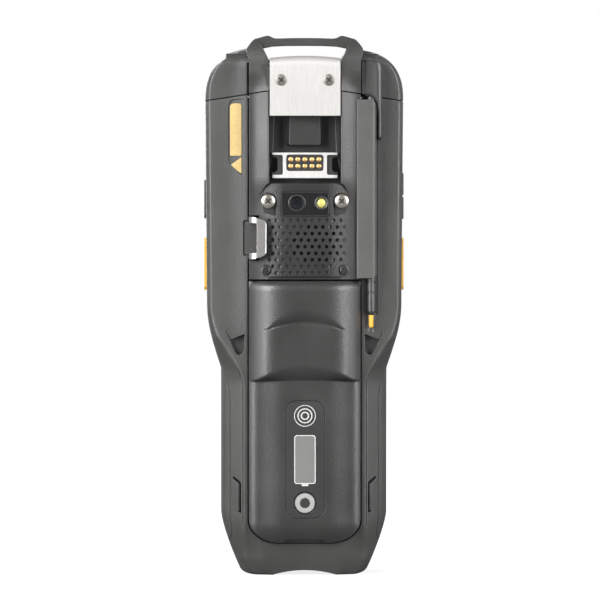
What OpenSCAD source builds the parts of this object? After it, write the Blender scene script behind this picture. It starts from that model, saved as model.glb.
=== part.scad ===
// Portable barcode data terminal, standing on its boot.
// +Z runs up the terminal, -Y is its back, +Y its display side. Millimetres.

/* [Body] */
// Height from the feet to the top of the bumper loop
body_h = 234; // [228:1:246]
// Width over the side keys
body_w = 87; // [85:0.5:91]
// Depth from the battery hump to the display bezel
body_d = 50; // [49:0.5:54]
// Thickness of the housing walls
wall = 2.2; // [2:0.1:2.5]
// Width of the hand grip
grip_w = 72.4; // [71:0.2:75]
// Width across the two feet
foot_w = 54; // [50:1:58]
// Height of the arch between the feet
foot_arch_h = 2.1; // [1:0.1:3]
// Half width of the arch between the feet
foot_arch_w = 13.9; // [10:0.1:16]
// Depth of the wings below the top of the battery hump
wing_drop = 9.5; // [9:0.1:10.5]
// Depth of the step from the display bezel down to the keypad
keypad_step = 5; // [4:0.25:6]
// Height at which the grip starts to flare out into the wings
flare_z = 90; // [87:0.5:93]
// Length of the flare
flare_h = 28; // [24:1:31]
// Width of the bevel between a wing and its side
bevel_w = 3.2; // [2.5:0.1:4]
// Height of the rounded shoulders at the top
shoulder_h = 21.6; // [19:0.2:24]
// Height of the bumper loop above the shoulders
loop_h = 5.4; // [5:0.1:6.5]
// Clearance between pieces that are let into each other
gap = 0.3; // [0.25:0.05:0.4]

/* [Spine] */
// Width of the raised spine
spine_w = 48.4; // [47.6:0.2:49.2]
// Height of the spine's panel above the wings
spine_rise = 6; // [5.5:0.1:6.5]
// Width of the recess between the pillars
recess_w = 31; // [30.6:0.1:31.8]
// Depth of the recess below the pillars
recess_d = 9; // [8.5:0.1:9.5]

/* [Battery] */
// Width of the battery
battery_w = 48.5; // [47.8:0.1:49.2]
// Length of the battery
battery_h = 113.7; // [112:0.1:116]
// Height of the battery's lower edge
battery_z = 14.3; // [13.5:0.1:15.5]
// Corner radius at the battery's lower end
battery_r = 11; // [9:0.5:12]
// Diameter of one cell
cell_d = 18.2; // [17.8:0.1:18.4]
// Length of one cell
cell_h = 65; // [60:1:70]

/* [Speaker cover] */
// Width of the speaker cover
cover_w = 39.8; // [39:0.1:40.4]
// Height of the speaker cover
cover_h = 40.3; // [39.9:0.1:42]
// Thickness of the speaker cover
cover_t = 1.8; // [1.5:0.1:2]
// Diameter of a grille hole
grille_d = 1.5; // [1.2:0.1:1.8]
// Spacing of grille holes along a row
grille_pitch = 3.09; // [3:0.01:3.2]

/* [Hook plate and dock connector] */
// Width of the steel plate
plate_w = 30.5; // [30:0.1:30.8]
// Height of the steel plate
plate_h = 26.1; // [25:0.1:27]
// Thickness of the steel plate
plate_t = 1.2; // [1:0.1:1.5]
// Distance between the plate's screws
plate_screw_span = 20.6; // [18:0.2:22]
// Width of the connector's metal bracket
bracket_w = 28.2; // [27:0.1:29]
// Height of the connector's metal bracket
bracket_h = 11; // [10.6:0.1:11.6]
// Diameter of a gold contact
contact_d = 2.3; // [1.8:0.1:2.5]
// Spacing of the contacts
contact_pitch = 3; // [2.8:0.05:3.1]

/* [Label] */
// Width of the label strip
label_strip_w = 5; // [4:0.1:5.6]
// Length of the label strip
label_strip_h = 22.7; // [16:0.1:24]
// Height of the pointer below the strip
label_sign_h = 7.3; // [5:0.1:8]
// Distance from the top of the label's pocket to the shoulder
label_drop = 0.3; // [0:0.1:6]

/* [Camera] */
// Width of the camera's window
window_w = 20.6; // [19:0.1:21]
// Height of the camera's window
window_h = 10.2; // [9:0.1:10.4]

/* [Stylus] */
// Diameter of the stylus barrel
stylus_d = 3.6; // [3.2:0.1:3.8]
// Height of the stylus tip above the feet
stylus_z = 107.6; // [106:0.1:110]
// Distance of the stylus from the middle
stylus_x = 28.8; // [28.6:0.1:29.2]

/* [Keys] */
// Height of the two scan keys
scan_key_h = 22.7; // [20:0.1:24]
// Width of the side keys
side_key_w = 7; // [6:0.1:8]
// How far the side keys stand out of the housing
side_key_proud = 0.5; // [0.3:0.1:0.8]
// Travel of the side keys
side_key_travel = 0.4; // [0.3:0.1:0.5]
// Width of a number key
number_key_w = 14; // [12:0.5:15]
// Height of a number key
number_key_h = 10; // [8:0.5:11]
// Sideways spacing of the number keys
number_pitch_x = 18; // [17.5:0.5:19]
// Upward spacing of the number keys
number_pitch_z = 15.5; // [15:0.5:16.5]
// Height of the lowest row of number keys
number_z = 34; // [32:0.5:36]
// Travel of the front keys
key_travel = 0.6; // [0.4:0.1:0.7]
// How far the front keys stand out of the keypad
key_proud = 1.2; // [0.8:0.1:1.5]

/* [Display] */
// Width of the frame beside the display glass
glass_side = 10; // [8:0.5:12]
// Distance from the keypad's step up to the display glass
glass_below = 6.9; // [6:0.1:10]
// Distance from the display glass up to the seam of the top cap
glass_above = 3; // [2:0.1:6]
// Thickness of the display glass
glass_t = 1.6; // [1.2:0.1:1.8]

/* [Latches] */
// Length of a latch button
latch_h = 14.6; // [12:0.2:16]
// Width of a latch button
latch_w = 4.3; // [4:0.1:4.6]
// Travel of a latch button
latch_travel = 1; // [0.6:0.1:1.1]

/* [Hidden] */
KEY_ROWS = 4;
KEY_COLUMNS = 3;
NUMBER_KEYS = [for (row = [0:KEY_ROWS - 1], column = [0:KEY_COLUMNS - 1])
    str("number_key_", row + 1, "_", column + 1)];

// Heights
housing_h = body_h - loop_h;
shoulder_z = housing_h - shoulder_h;
battery_top = battery_z + battery_h;
cover_z = battery_top + 1.9;
cover_top = cover_z + cover_h;
plate_top = housing_h - 3.2;
plate_z = plate_top - plate_h;
recess_z = cover_top + 0.3;
boot_z = battery_z - 0.8;
seam_z = shoulder_z + 3.3;
seam_fall = 4.4;

// Depths, from the back (-Y) to the front (+Y)
back_y = -body_d / 2;
front_y = body_d / 2;
wing_y = back_y + wing_drop;
grip_y = wing_y - 0.5;
keypad_y = front_y - keypad_step;
panel_y = wing_y - spine_rise;
ridge_y = panel_y - 1;
part_high_y = wing_y + 21.5;
part_low_y = grip_y + 5.8;
pocket_y = wing_y + 17.5;

// Widths
side_x = body_w / 2 - side_key_proud;
grip_x = grip_w / 2;
grip_crease_x = 26.8;
spine_x = spine_w / 2;
recess_x = recess_w / 2;
battery_x = battery_w / 2;
far = 400;

// ---------------------------------------------------------------- outer form

function ease(a, b, v) = let (t = max(0, min(1, (v - a) / (b - a)))) t * t * (3 - 2 * t);

boot_top = battery_z + 12.7;
foot_r = 2.3;
wing_taper = 0.9;
shoulder_x = 20;
shoulder_bend = 2.4;
flare_start = flare_z - 8;
flare_end = flare_z + flare_h;

// Half width of the housing at height z
function half_width(z) =
    z < boot_top ? foot_w / 2 + (grip_x - foot_w / 2) * (1 - pow(1 - z / boot_top, 1.35)) - foot_round(z)
    : z < flare_z ? grip_x
    : z < shoulder_z ? grip_x + (wing_x(z) - grip_x) * sin(90 * min(1, (z - flare_z) / flare_h))
    : shoulder_x + (side_x - shoulder_x)
        * pow(1 - pow((z - shoulder_z) / shoulder_h, shoulder_bend), 1 / shoulder_bend);
function wing_x(z) = side_x - wing_taper * (shoulder_z - z) / (shoulder_z - flare_z);
function foot_round(z) = z < foot_r ? foot_r - sqrt(foot_r * foot_r - (foot_r - z) * (foot_r - z)) : 0;

// Half width of the flat back at height z, out to the crease of the bevel
function crease_x(z) = min(
    grip_crease_x + (side_x - bevel_w - grip_crease_x) * ease(flare_start, flare_end - 6, z),
    half_width(z) - bevel_w);

// Depths of the back, of the back edge of the side and of the front at height z
function back_at(z) = wing_y + (grip_y - wing_y) * (1 - ease(flare_start, flare_end, z))
    + 3 * pow(max(0, 1 - z / boot_top), 2) + 2 * pow(max(0, (z - shoulder_z) / shoulder_h), 3);
function side_back_at(z) = back_at(z) + 10 - 4 * ease(flare_start, flare_end, z);
function front_at(z) = front_y - keypad_step * (1 - ease(flare_end - 14, flare_end - 2, z))
    - 7 * pow(max(0, 1 - z / boot_z), 2) - 7 * pow(max(0, (z - shoulder_z) / shoulder_h), 3);

function unit(v) = v / norm(v);
function inward(a, b) = let (u = unit(b - a)) [-u[1], u[0]];

// Corner p between a and b, moved inward by d along both edges
function inset_corner(a, p, b, d) = let (m = inward(a, p), n = inward(p, b)) p + (m + n) * d / (1 + m * n);

// Points that round corner p between a and b, starting r away from it
ARC_STEPS = 3;
function rounded(a, p, b, r) = let (s = p + unit(a - p) * r, e = p + unit(b - p) * r)
    [for (i = [0:ARC_STEPS], t = i / ARC_STEPS) (1 - t) * (1 - t) * s + 2 * t * (1 - t) * p + t * t * e];

// Right half of the cross-section at height z, from the middle of the back to the middle of the front
SIDE_CORNER = 9;
FRONT_CORNER = 5;
CORNER_REACH = [1.5, 3.5, 4.5, 3.5];
function half_corners(z) = let (w = half_width(z), b = back_at(z), f = front_at(z))
    [[0, b], [crease_x(z), b], [w, side_back_at(z)], [w, f - SIDE_CORNER], [w - FRONT_CORNER, f], [0, f]];
function half_section(z, d) = let (c = half_corners(z),
    p = [[0, c[0][1] + d], for (i = [1:4]) inset_corner(c[i - 1], c[i], c[i + 1], d), [0, c[5][1] - d]])
    [for (i = [1:4]) each rounded(p[i - 1], p[i], p[i + 1], CORNER_REACH[i - 1])];
function section(z, d) = let (h = half_section(z, d), n = len(h))
    concat(h, [for (i = [n - 1:-1:0]) [-h[i][0], h[i][1]]]);

// Heights of the rings that the form is lofted through
RING_Z = concat(
    [for (k = [0:3]) foot_r * (1 - cos(30 * k))],
    [for (k = [1:4]) foot_r + (boot_top - foot_r) * k / 4],
    [for (k = [0:8]) flare_start + (flare_end - flare_start) * k / 8],
    [for (k = [0:7]) shoulder_z + shoulder_h * sin(81 * k / 7)]);

module loft(rings) {
    n = len(rings[0]);
    last = len(rings) - 1;
    polyhedron(points = [for (r = rings) each r], faces = concat(
        [[for (j = [0:n - 1]) j]],
        [for (i = [0:last - 1], j = [0:n - 1])
            let (a = i * n + j, b = i * n + (j + 1) % n) each [[a, a + n, b], [b, a + n, b + n]]],
        [[for (j = [n - 1:-1:0]) last * n + j]]));
}

// The housing's outer form, or its hollow when d is the wall
module form(d = 0) {
    form_h = RING_Z[len(RING_Z) - 1];
    loft([for (z = RING_Z) let (h = d + z * (form_h - 2 * d) / form_h)
        [for (p = section(z, d)) [p[0], p[1], h]]]);
}

module along_y(y0, y1) {
    translate([0, y1, 0]) rotate([90, 0, 0]) linear_extrude(y1 - y0) children();
}

module along_x(x0, x1) {
    translate([x0, 0, 0]) rotate([90, 0, 90]) linear_extrude(x1 - x0) children();
}

module block(lo, hi) {
    translate(lo) cube(hi - lo);
}

module bar_y(x, z, y0, y1, r) {
    translate([x, y1, z]) rotate([90, 0, 0]) cylinder(h = y1 - y0, r = r, $fn = 48);
}

module pad(w, h, r) {
    offset(r) square([w - 2 * r, h - 2 * r], center = true);
}

module both_sides() {
    children();
    mirror([1, 0, 0]) children();
}

// Region of the rear housing, to the back of the parting line and below it at the boot
module rear_region(d = 0) {
    along_x(-far, far) polygon([[-far, -far], [far, -far], [far, boot_z + d],
        [part_low_y + 8, boot_z + d], [part_low_y + 2 + d, boot_z + 2.5], [part_low_y + d, boot_z + 7],
        [part_low_y + d, flare_start - 4], [part_low_y + 1.5 + d, flare_start + 2],
        [part_low_y + 4 + d, flare_start + 5.5], [part_high_y - 4 + d, flare_z + 7],
        [part_high_y + d, flare_z + 11], [part_high_y + d, far], [-far, far]]);
}

// Region of the top cap: a seam that falls away to both sides
module cap_region(d = 0) {
    along_y(-far, far) polygon([[-side_x - 2, seam_z - seam_fall + d], [-spine_x, seam_z - 1.3 + d],
        [-recess_x, seam_z + d], [recess_x, seam_z + d], [spine_x, seam_z - 1.3 + d],
        [side_x + 2, seam_z - seam_fall + d], [side_x + 2, far], [-side_x - 2, far]]);
}

// ------------------------------------------------------------------- battery

battery_axis_z = battery_top - 0.1;
battery_low_y = grip_y - 4.5;
pocket_gap = 0.35;
pocket_wall = 1.6;

module battery_plan(d = 0) {
    z0 = battery_z + d;
    z1 = battery_top - d;
    x = battery_x - d;
    r = battery_r;
    hull() {
        translate([-x, z1 - 1]) square([2 * x, 1]);
        for (s = [-1, 1]) translate([s * (x - r), z0 + r]) circle(r, $fn = 32);
    }
}

// Depth of the battery's back along its length: hump, grip bump, flat lower end
hump_z = battery_top - 9;
valley_z = battery_top - 19;
bump_z = battery_top - 28.5;
step_z = battery_top - 41;
function battery_y(z) =
    z > hump_z ? back_y + 3.5 * ease(hump_z, battery_top, z)
    : z > valley_z ? back_y + 2.6 * ease(hump_z, valley_z, z)
    : z > bump_z ? back_y + 0.6 + 2 * ease(bump_z, valley_z, z)
    : z > step_z ? battery_low_y - (battery_low_y - back_y - 0.6) * ease(step_z, bump_z, z)
    : battery_low_y + 3 * pow(max(0, 1 - (z - battery_z) / 9), 2);

battery_edge_y = grip_y - 0.2;
BATTERY_Z = concat(
    [for (k = [0:4]) battery_z + 9 * k / 4],
    [for (k = [0:4]) step_z + (bump_z - step_z) * k / 4],
    [for (k = [1:2]) bump_z + (valley_z - bump_z) * k / 2],
    [for (k = [1:3]) valley_z + (hump_z - valley_z) * k / 3],
    [for (k = [1:4]) hump_z + (battery_top - hump_z) * k / 4]);
SHOULDER_STEPS = 5;

// Cross-section of the battery's cover: flat middle, round shoulders, closed at depth y1
function battery_section(z, y1) = let (b = battery_y(z), r = 11.5, rise = battery_edge_y - b, x = battery_x)
    concat([[-x, y1], [-x, battery_edge_y]],
        [for (i = [1:SHOULDER_STEPS], a = 90 * i / SHOULDER_STEPS)
            [-x + r * (1 - cos(a)), battery_edge_y - rise * sin(a)]],
        [for (i = [SHOULDER_STEPS:-1:1], a = 90 * i / SHOULDER_STEPS)
            [x - r * (1 - cos(a)), battery_edge_y - rise * sin(a)]],
        [[x, battery_edge_y], [x, y1]]);

tray_y0 = wing_y + 0.6;
tray_y1 = pocket_y - 0.4;
tray_rise = 2.9;
cell_y = tray_y1 - 1.2 - cell_d / 2;
gauge_x = 4.5;
gauge_z0 = battery_z + 26;
gauge_z1 = battery_z + 46.9;
label_w = 17.4;
button_z = battery_z + 17.6;
rings_z = battery_z + 55.4;

module battery_shell() {
    color([0.17, 0.17, 0.17]) difference() {
        intersection() {
            loft([for (z = BATTERY_Z) [for (p = battery_section(z, tray_y0)) [p[0], p[1], z]]]);
            along_y(-far, far) battery_plan();
        }
        block([2 - battery_x, cell_y - cell_d / 2 - gap, battery_z + 3], [battery_x - 2, far, battery_top - 3]);
        along_y(-far, battery_low_y + 0.4) translate([0, (button_z + rings_z) / 2])
            pad(label_w, rings_z - button_z + 13.4, 5);
        bar_y(0, button_z, -far, far, button_r + gap);
        along_y(-far, far) translate([0, (gauge_z0 + gauge_z1) / 2])
            pad(2 * gauge_x + 0.2, gauge_z1 - gauge_z0 + 0.2, 0.8);
        for (r = [4.6, 3.4]) difference() {
            bar_y(0, rings_z, -far, battery_low_y + 0.7, r);
            bar_y(0, rings_z, -far, battery_low_y + 0.8, r - 0.7);
        }
        bar_y(0, rings_z, -far, battery_low_y + 0.7, 1.8);
        block([-9, -far, battery_z - 1], [9, grip_y - 1.6, battery_z + 1]);
    }
}

// The tray ends higher than the cover, so that it clears the pocket as the battery tilts out
module tray_plan(d) {
    intersection() {
        battery_plan(d);
        translate([0, tray_rise]) battery_plan(d);
    }
}

module battery_tray() {
    color([0.1, 0.1, 0.1]) difference() {
        along_y(tray_y0, tray_y1) tray_plan(0.5);
        along_y(tray_y0 - 1, tray_y1 - 1.2) tray_plan(1.9);
        for (s = [-1, 1]) notch(s);
        for (x = contact_places)
            block([x - 1.6, tray_y1 - 0.8, contact_z - 2.6], [x + 1.6, tray_y1 + 1, contact_z + 2.6]);
    }
}

// Notch in the tray's side where a pressed latch goes in
module notch(s) {
    block([s > 0 ? battery_x - 2.6 : -battery_x - 1, tray_y0 - 1, latch_z - latch_h / 2 - 1.5],
        [s > 0 ? battery_x + 1 : 2.6 - battery_x, tray_y0 + 7, latch_z + latch_h / 2 + 1.5]);
}

module battery_cells() {
    color([0.25, 0.45, 0.35])
        for (s = [-1, 1]) translate([s * (cell_d / 2 + 0.2), cell_y, battery_z + 18])
            cylinder(h = cell_h, d = cell_d, $fn = 64);
}

contact_z = battery_top - 10;
contact_places = [for (i = [-1.5:1.5]) i * 5];
module battery_contacts() {
    color([0.85, 0.68, 0.3]) for (x = contact_places)
        block([x - 1.5, tray_y1 - 0.7, contact_z - 2.5], [x + 1.5, tray_y1, contact_z + 2.5]);
}

module gauge_window() {
    color([0.45, 0.46, 0.47]) along_y(battery_low_y + 0.2, battery_low_y + 1.4)
        translate([0, (gauge_z0 + gauge_z1) / 2]) pad(2 * gauge_x, gauge_z1 - gauge_z0, 0.7);
}

button_travel = 0.3;
button_r = 4.5;
module gauge_button() {
    y1 = cell_y - cell_d / 2 + 0.9 - button_travel;
    color([0.3, 0.3, 0.3]) {
        bar_y(0, button_z, battery_low_y + 0.1, y1, button_r);
        bar_y(0, button_z, y1 - 0.7, y1, button_r + 0.8);
    }
}

// ------------------------------------------------------------------ housings

// Side keys as [side, lower edge, height]
rocker_key = [-1, battery_top + 27.1, 16.7];
scan_z = battery_top - 4.1;
scan_left = [-1, scan_z, scan_key_h];
scan_right = [1, scan_z, scan_key_h];
upper_key = [1, battery_top + 37.2, 9.7];
lower_key = [1, battery_top + 26.8, 9.7];
SIDE_KEYS = [rocker_key, scan_left, scan_right, upper_key, lower_key];
side_key_y = wing_y + 13.5;

// Outline of a side key, grown by d, from depth x0 to x1 on its side
module side_key_prism(k, d, x0, x1) {
    mirror([k[0] < 0 ? 1 : 0, 0, 0]) along_x(x0, x1)
        translate([side_key_y, k[1] + k[2] / 2]) pad(side_key_w + 2 * d, k[2] + 2 * d, 1.5 + d);
}

// A flange on the key's two long sides keeps it in the housing
key_flange_x = side_x - wing_taper - wall - 1.1;
key_flange_t = 0.8;
module side_key_flange(k, d, x0, x1) {
    mirror([k[0] < 0 ? 1 : 0, 0, 0]) along_x(x0, x1)
        translate([side_key_y, k[1] + k[2] / 2])
            square([side_key_w + 1.8 + 2 * d, k[2] - 1 + 2 * d], center = true);
}

module side_key(k) {
    side_key_prism(k, 0, key_flange_x, side_x + side_key_proud);
    side_key_flange(k, 0, key_flange_x, key_flange_x + key_flange_t);
}

// Latch buttons lie on the grip's bevel: their frame's X runs up the slope, its Y inward
latch_z = battery_z + 20.8;
latch_slope = atan2(side_back_at(60) - grip_y, grip_x - grip_crease_x);
latch_mid_x = 29.5;
latch_mid_y = grip_y + (latch_mid_x - grip_crease_x) * tan(latch_slope);
module on_bevel(s) {
    mirror([s < 0 ? 1 : 0, 0, 0]) translate([latch_mid_x, latch_mid_y, latch_z])
        rotate([0, 0, latch_slope]) children();
}

latch_depth = wall + 0.3;
module latch_button(s) {
    color([0.42, 0.42, 0.41]) on_bevel(s) {
        along_y(-0.35, latch_depth) pad(latch_w, latch_h, 0.8);
        along_y(latch_depth, latch_depth + 0.7) square([latch_w + 1, latch_h + 1], center = true);
    }
}

module latch_opening(s) {
    on_bevel(s) {
        along_y(-3, latch_depth + 1) pad(latch_w + 2 * gap, latch_h + 2 * gap, 0.8 + gap);
        along_y(latch_depth - 0.2, latch_depth + 1 + latch_travel)
            square([latch_w + 1 + 2 * gap, latch_h + 1 + 2 * gap], center = true);
    }
}

pocket_floor = 1.6;
screw_places = [for (x = [-19, 19], z = [battery_z + 6.7, battery_top - 13]) [x, z]];
boss_r = 4;
boss_end = pocket_y + 4;

module battery_pocket_walls() {
    intersection() {
        along_y(part_low_y - 7, pocket_y + pocket_floor) battery_plan(-pocket_gap - pocket_wall);
        form(wall / 2);
    }
    for (p = screw_places) bar_y(p[0], p[1], pocket_y, boss_end, boss_r);
}

module finger_pocket(s) {
    mirror([s < 0 ? 1 : 0, 0, 0]) along_y(wing_y - 5, wing_y + 1.2)
        polygon([[grip_crease_x - 0.5, flare_z + 14.5], [grip_crease_x + 5, flare_z + 12.2],
            [grip_crease_x + 2.6, flare_z + 6.8], [grip_crease_x + 0.8, flare_z + 6.6],
            [grip_crease_x - 0.6, flare_z + 8]]);
}

stylus_y = wing_y - 1;
stylus_top = housing_h - 4;
cap_z = shoulder_z + 0.7;
label_x = -spine_x - 5.6;
label_pocket_h = label_strip_h + label_sign_h + 3;
label_z = shoulder_z - label_drop - label_pocket_h / 2;

module rear_openings() {
    along_y(-far, pocket_y) battery_plan(-pocket_gap);
    block([-spine_x - 0.2, -far, battery_top - 3], [spine_x + 0.2, frame_back_y + 0.2, far]);
    for (k = SIDE_KEYS) {
        side_key_prism(k, gap, key_flange_x - 1, far);
        side_key_flange(k, gap, key_flange_x - 0.6 - side_key_travel, key_flange_x + key_flange_t + 0.15);
    }
    for (s = [-1, 1]) latch_opening(s);
    for (s = [-1, 1]) finger_pocket(s);
    translate([stylus_x, stylus_y, stylus_z - 1.8]) cylinder(h = far, r = stylus_d / 2 + gap, $fn = 48);
    along_y(wing_y - 5, wing_y + 0.4) translate([label_x, label_z]) pad(label_strip_w + 1.6, label_pocket_h, 1);
    block([strap_x - 5.6, -far, strap_z + 0.5], [strap_x + 3, wing_y + 1.2, strap_z + strap_h - 0.5]);
    translate([0, 0, foot_arch_h - arch_r]) rotate([90, 0, 0])
        cylinder(h = far, r = arch_r, center = true, $fn = 180);
    for (p = screw_places) {
        bar_y(p[0], p[1], pocket_y - 1, pocket_y + 1.9, 2.8);
        bar_y(p[0], p[1], pocket_y, boss_end + 1, 1.4);
    }
    for (x = contact_places)
        block([x - 1.2, pocket_y - 1, contact_z - 2.2], [x + 1.2, pocket_y + pocket_floor + 1, contact_z + 2.2]);
}

arch_r = (foot_arch_w * foot_arch_w + foot_arch_h * foot_arch_h) / (2 * foot_arch_h);

module rear_housing() {
    color([0.2, 0.2, 0.195]) difference() {
        union() {
            intersection() {
                difference() {
                    form();
                    form(wall);
                }
                rear_region();
            }
            battery_pocket_walls();
        }
        cap_region();
        rear_openings();
    }
}

glass_z0 = flare_end - 2 + glass_below;
glass_z1 = seam_z - seam_fall - glass_above;
glass_w = 2 * (side_x - glass_side);
glass_h = glass_z1 - glass_z0;
glass_z = (glass_z0 + glass_z1) / 2;
key_board_z0 = battery_z + 11.7;
key_board_z1 = flare_z + 18;
enter_z = flare_z + 6;
power_x = 22;
earpiece_z = seam_z + 4;

function number_place(row, column) = [(column - 1) * number_pitch_x, number_z + row * number_pitch_z];

module number_key_prism(row, column, d, y0, y1) {
    p = number_place(row, column);
    along_y(y0, y1) translate(p) pad(number_key_w + 2 * d, number_key_h + 2 * d, 2.4);
}

module front_openings() {
    along_y(glass_y1 - 1, far) translate([0, glass_z]) pad(glass_w - 5, glass_h - 5, 3);
    for (row = [0:KEY_ROWS - 1], column = [0:KEY_COLUMNS - 1]) number_key_prism(row, column, gap, key_y0, far);
    bar_y(0, enter_z, key_y0, far, 8 + gap);
    bar_y(power_x, enter_z, key_y0, far, 3.6 + gap);
}

module front_housing() {
    color([0.2, 0.2, 0.195]) difference() {
        union() {
            difference() {
                form();
                form(wall);
                rear_region(seam_gap);
            }
            for (p = screw_places) intersection() {
                bar_y(p[0], p[1], boss_end + 0.1, front_y, 3.4);
                form(wall / 2);
            }
        }
        cap_region();
        front_openings();
        for (p = screw_places) bar_y(p[0], p[1], boss_end, boss_end + 6, 1.25);
    }
}

// Seal strips squeezed between the two housings, just inside their side walls
seam_gap = 0.2;
gasket_t = 1.2;
module housing_gasket() {
    color([0.35, 0.35, 0.37]) intersection() {
        difference() {
            form(wall + 0.1);
            form(wall + 0.1 + gasket_t);
        }
        block([-far, part_high_y - 1, flare_z + 13], [far, part_high_y + 1, seam_z - seam_fall - 1]);
    }
}

module housing_screws() {
    color([0.55, 0.56, 0.58]) for (p = screw_places) difference() {
        union() {
            bar_y(p[0], p[1], pocket_y + 0.2, pocket_y + 1.9, 2.5);
            bar_y(p[0], p[1], pocket_y + 1.5, boss_end + 5.5, 1.2);
        }
        bar_y(p[0], p[1], pocket_y, pocket_y + 1.2, 0.9);
    }
}

// ------------------------------------------------------- top cap and the loop

loop_y = ridge_y + 2;
loop_t = 6.5;
slot_x = 15.5;
slot_floor_z = plate_top - 0.1;
arm_x = spine_x;

module loop_outline() {
    hull() {
        translate([-arm_x + 0.6, seam_z + 9]) square([2 * arm_x - 1.2, 1]);
        translate([-arm_x + 0.6, housing_h - 3]) square([2 * arm_x - 1.2, 1]);
        for (s = [-1, 1]) translate([s * 17, body_h - 1.5]) circle(1.5, $fn = 24);
    }
}

module top_cap() {
    color([0.22, 0.22, 0.215]) difference() {
        union() {
            intersection() {
                difference() {
                    form();
                    form(wall);
                }
                cap_region();
            }
            intersection() {
                translate([0, 0, seam_z - 10]) linear_extrude(housing_h - seam_z + 6) spine_profile(wing_y + wall);
                cap_region();
            }
            intersection() {
                form(wall / 2);
                block([-slot_x - wall, -far, slot_floor_z - wall], [slot_x + wall, far, far]);
            }
            along_y(loop_y, loop_y + loop_t) loop_outline();
        }
        block([-slot_x, -far, slot_floor_z], [slot_x, far, body_h - 4.2]);
        for (i = [-2:2]) along_y(glass_y1 - 3, far) translate([i * 3, earpiece_z]) pad(1.8, 1.2, 0.55);
        block([-recess_x, -far, seam_z - 5], [recess_x, plate_seat_y, plate_top + 1]);
        block([-recess_x, -far, bend_z - 1], [recess_x, plate_seat_y + 2.8, plate_top + 1]);
        translate([stylus_x, stylus_y, 0]) cylinder(h = far, r = stylus_d / 2 + gap, $fn = 48);
        for (s = [-1, 1]) bar_y(s * plate_screw_span / 2, plate_screw_z, -far, plate_seat_y + 4, 1.3);
        translate([0, scan_y, 0]) linear_extrude(far) pad(scan_w, scan_d, 2);
        along_y(-far, far) translate([0, body_h + 25.8]) circle(26.6, $fn = 120);
    }
}

plate_seat_y = ridge_y + 0.8;
plate_screw_z = plate_top - 10.7;
bend_z = plate_top - 4.4;
scan_y = 4;
scan_w = 28;
scan_d = 13;

// Section of the spine, with a raised ridge along each pillar, closed at depth y1
module spine_profile(y1) {
    x = spine_x - 0.1;
    polygon([[-x, y1], [-x, panel_y + 3.5], [-x + 3.4, panel_y], [-recess_x - 1.4, ridge_y], [-recess_x, ridge_y],
        [-recess_x, panel_y], [recess_x, panel_y], [recess_x, ridge_y], [recess_x + 1.4, ridge_y],
        [x - 3.4, panel_y], [x, panel_y + 3.5], [x, y1]]);
}

module hook_plate() {
    y0 = plate_seat_y - plate_t;
    color([0.75, 0.74, 0.72]) difference() {
        along_x(-plate_w / 2, plate_w / 2) polygon([[y0, plate_z], [plate_seat_y, plate_z],
            [plate_seat_y, bend_z - 0.5], [plate_seat_y + 2.6, plate_top - 1], [plate_seat_y + 1.6, plate_top - 0.2],
            [y0, bend_z]]);
        for (s = [-1, 1]) bar_y(s * plate_screw_span / 2, plate_screw_z, -far, far, 1.6);
    }
}

module screw(x, z, y0, head_r, head_t, shank_r, shank_l) {
    difference() {
        union() {
            bar_y(x, z, y0, y0 + head_t, head_r);
            bar_y(x, z, y0 + head_t, y0 + head_t + shank_l, shank_r);
        }
        block([x - head_r * 0.6, y0 - 1, z - 0.3], [x + head_r * 0.6, y0 + head_t / 2, z + 0.3]);
        block([x - 0.3, y0 - 1, z - head_r * 0.6], [x + 0.3, y0 + head_t / 2, z + head_r * 0.6]);
    }
}

module plate_screws() {
    color([0.6, 0.6, 0.59]) for (s = [-1, 1])
        screw(s * plate_screw_span / 2, plate_screw_z, plate_seat_y - plate_t - 0.7, 2.5, 0.7, 1.25, plate_t + 3.5);
}

module scan_window() {
    color([0.25, 0.05, 0.06]) translate([0, scan_y, housing_h - 5.2])
        linear_extrude(1.2) pad(scan_w - 0.4, scan_d - 0.4, 1.8);
}

module scan_engine() {
    color([0.15, 0.35, 0.2]) block([-12, scan_y - 6, housing_h - 19], [12, scan_y + 6, housing_h - 7]);
}

// ---------------------------------------------------- centre frame and covers

frame_back_y = wing_y + wall + 1.8;
recess_floor_y = ridge_y + recess_d;
speaker_x = 4.8;
speaker_z = cover_z + 14;
speaker_r = 9;
module_r = 3.9;
lens_x = -3.5;
lens_z = cover_z + 31.8;
flash_x = 7.1;
window_x = 0.5;
window_z = cover_z + 31.3;
flash_r = 3.1;
upper_screws = [for (s = [-1, 1]) [s * 15.9, cover_z + 32.6]];
lower_screws = [for (s = [-1, 1]) [s * 17, cover_z + 2.8]];

module cover_outline(d = 0) {
    x = cover_w / 2 + d;
    z0 = cover_z - d;
    z1 = cover_top + d;
    polygon([[-x + 1, z0], [x - 1, z0], [x, z0 + 1], [x, z1 - 5.6],
        [x - 3.8, z1], [-x + 3.8, z1], [-x, z1 - 5.6], [-x, z0 + 1]]);
}

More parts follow.
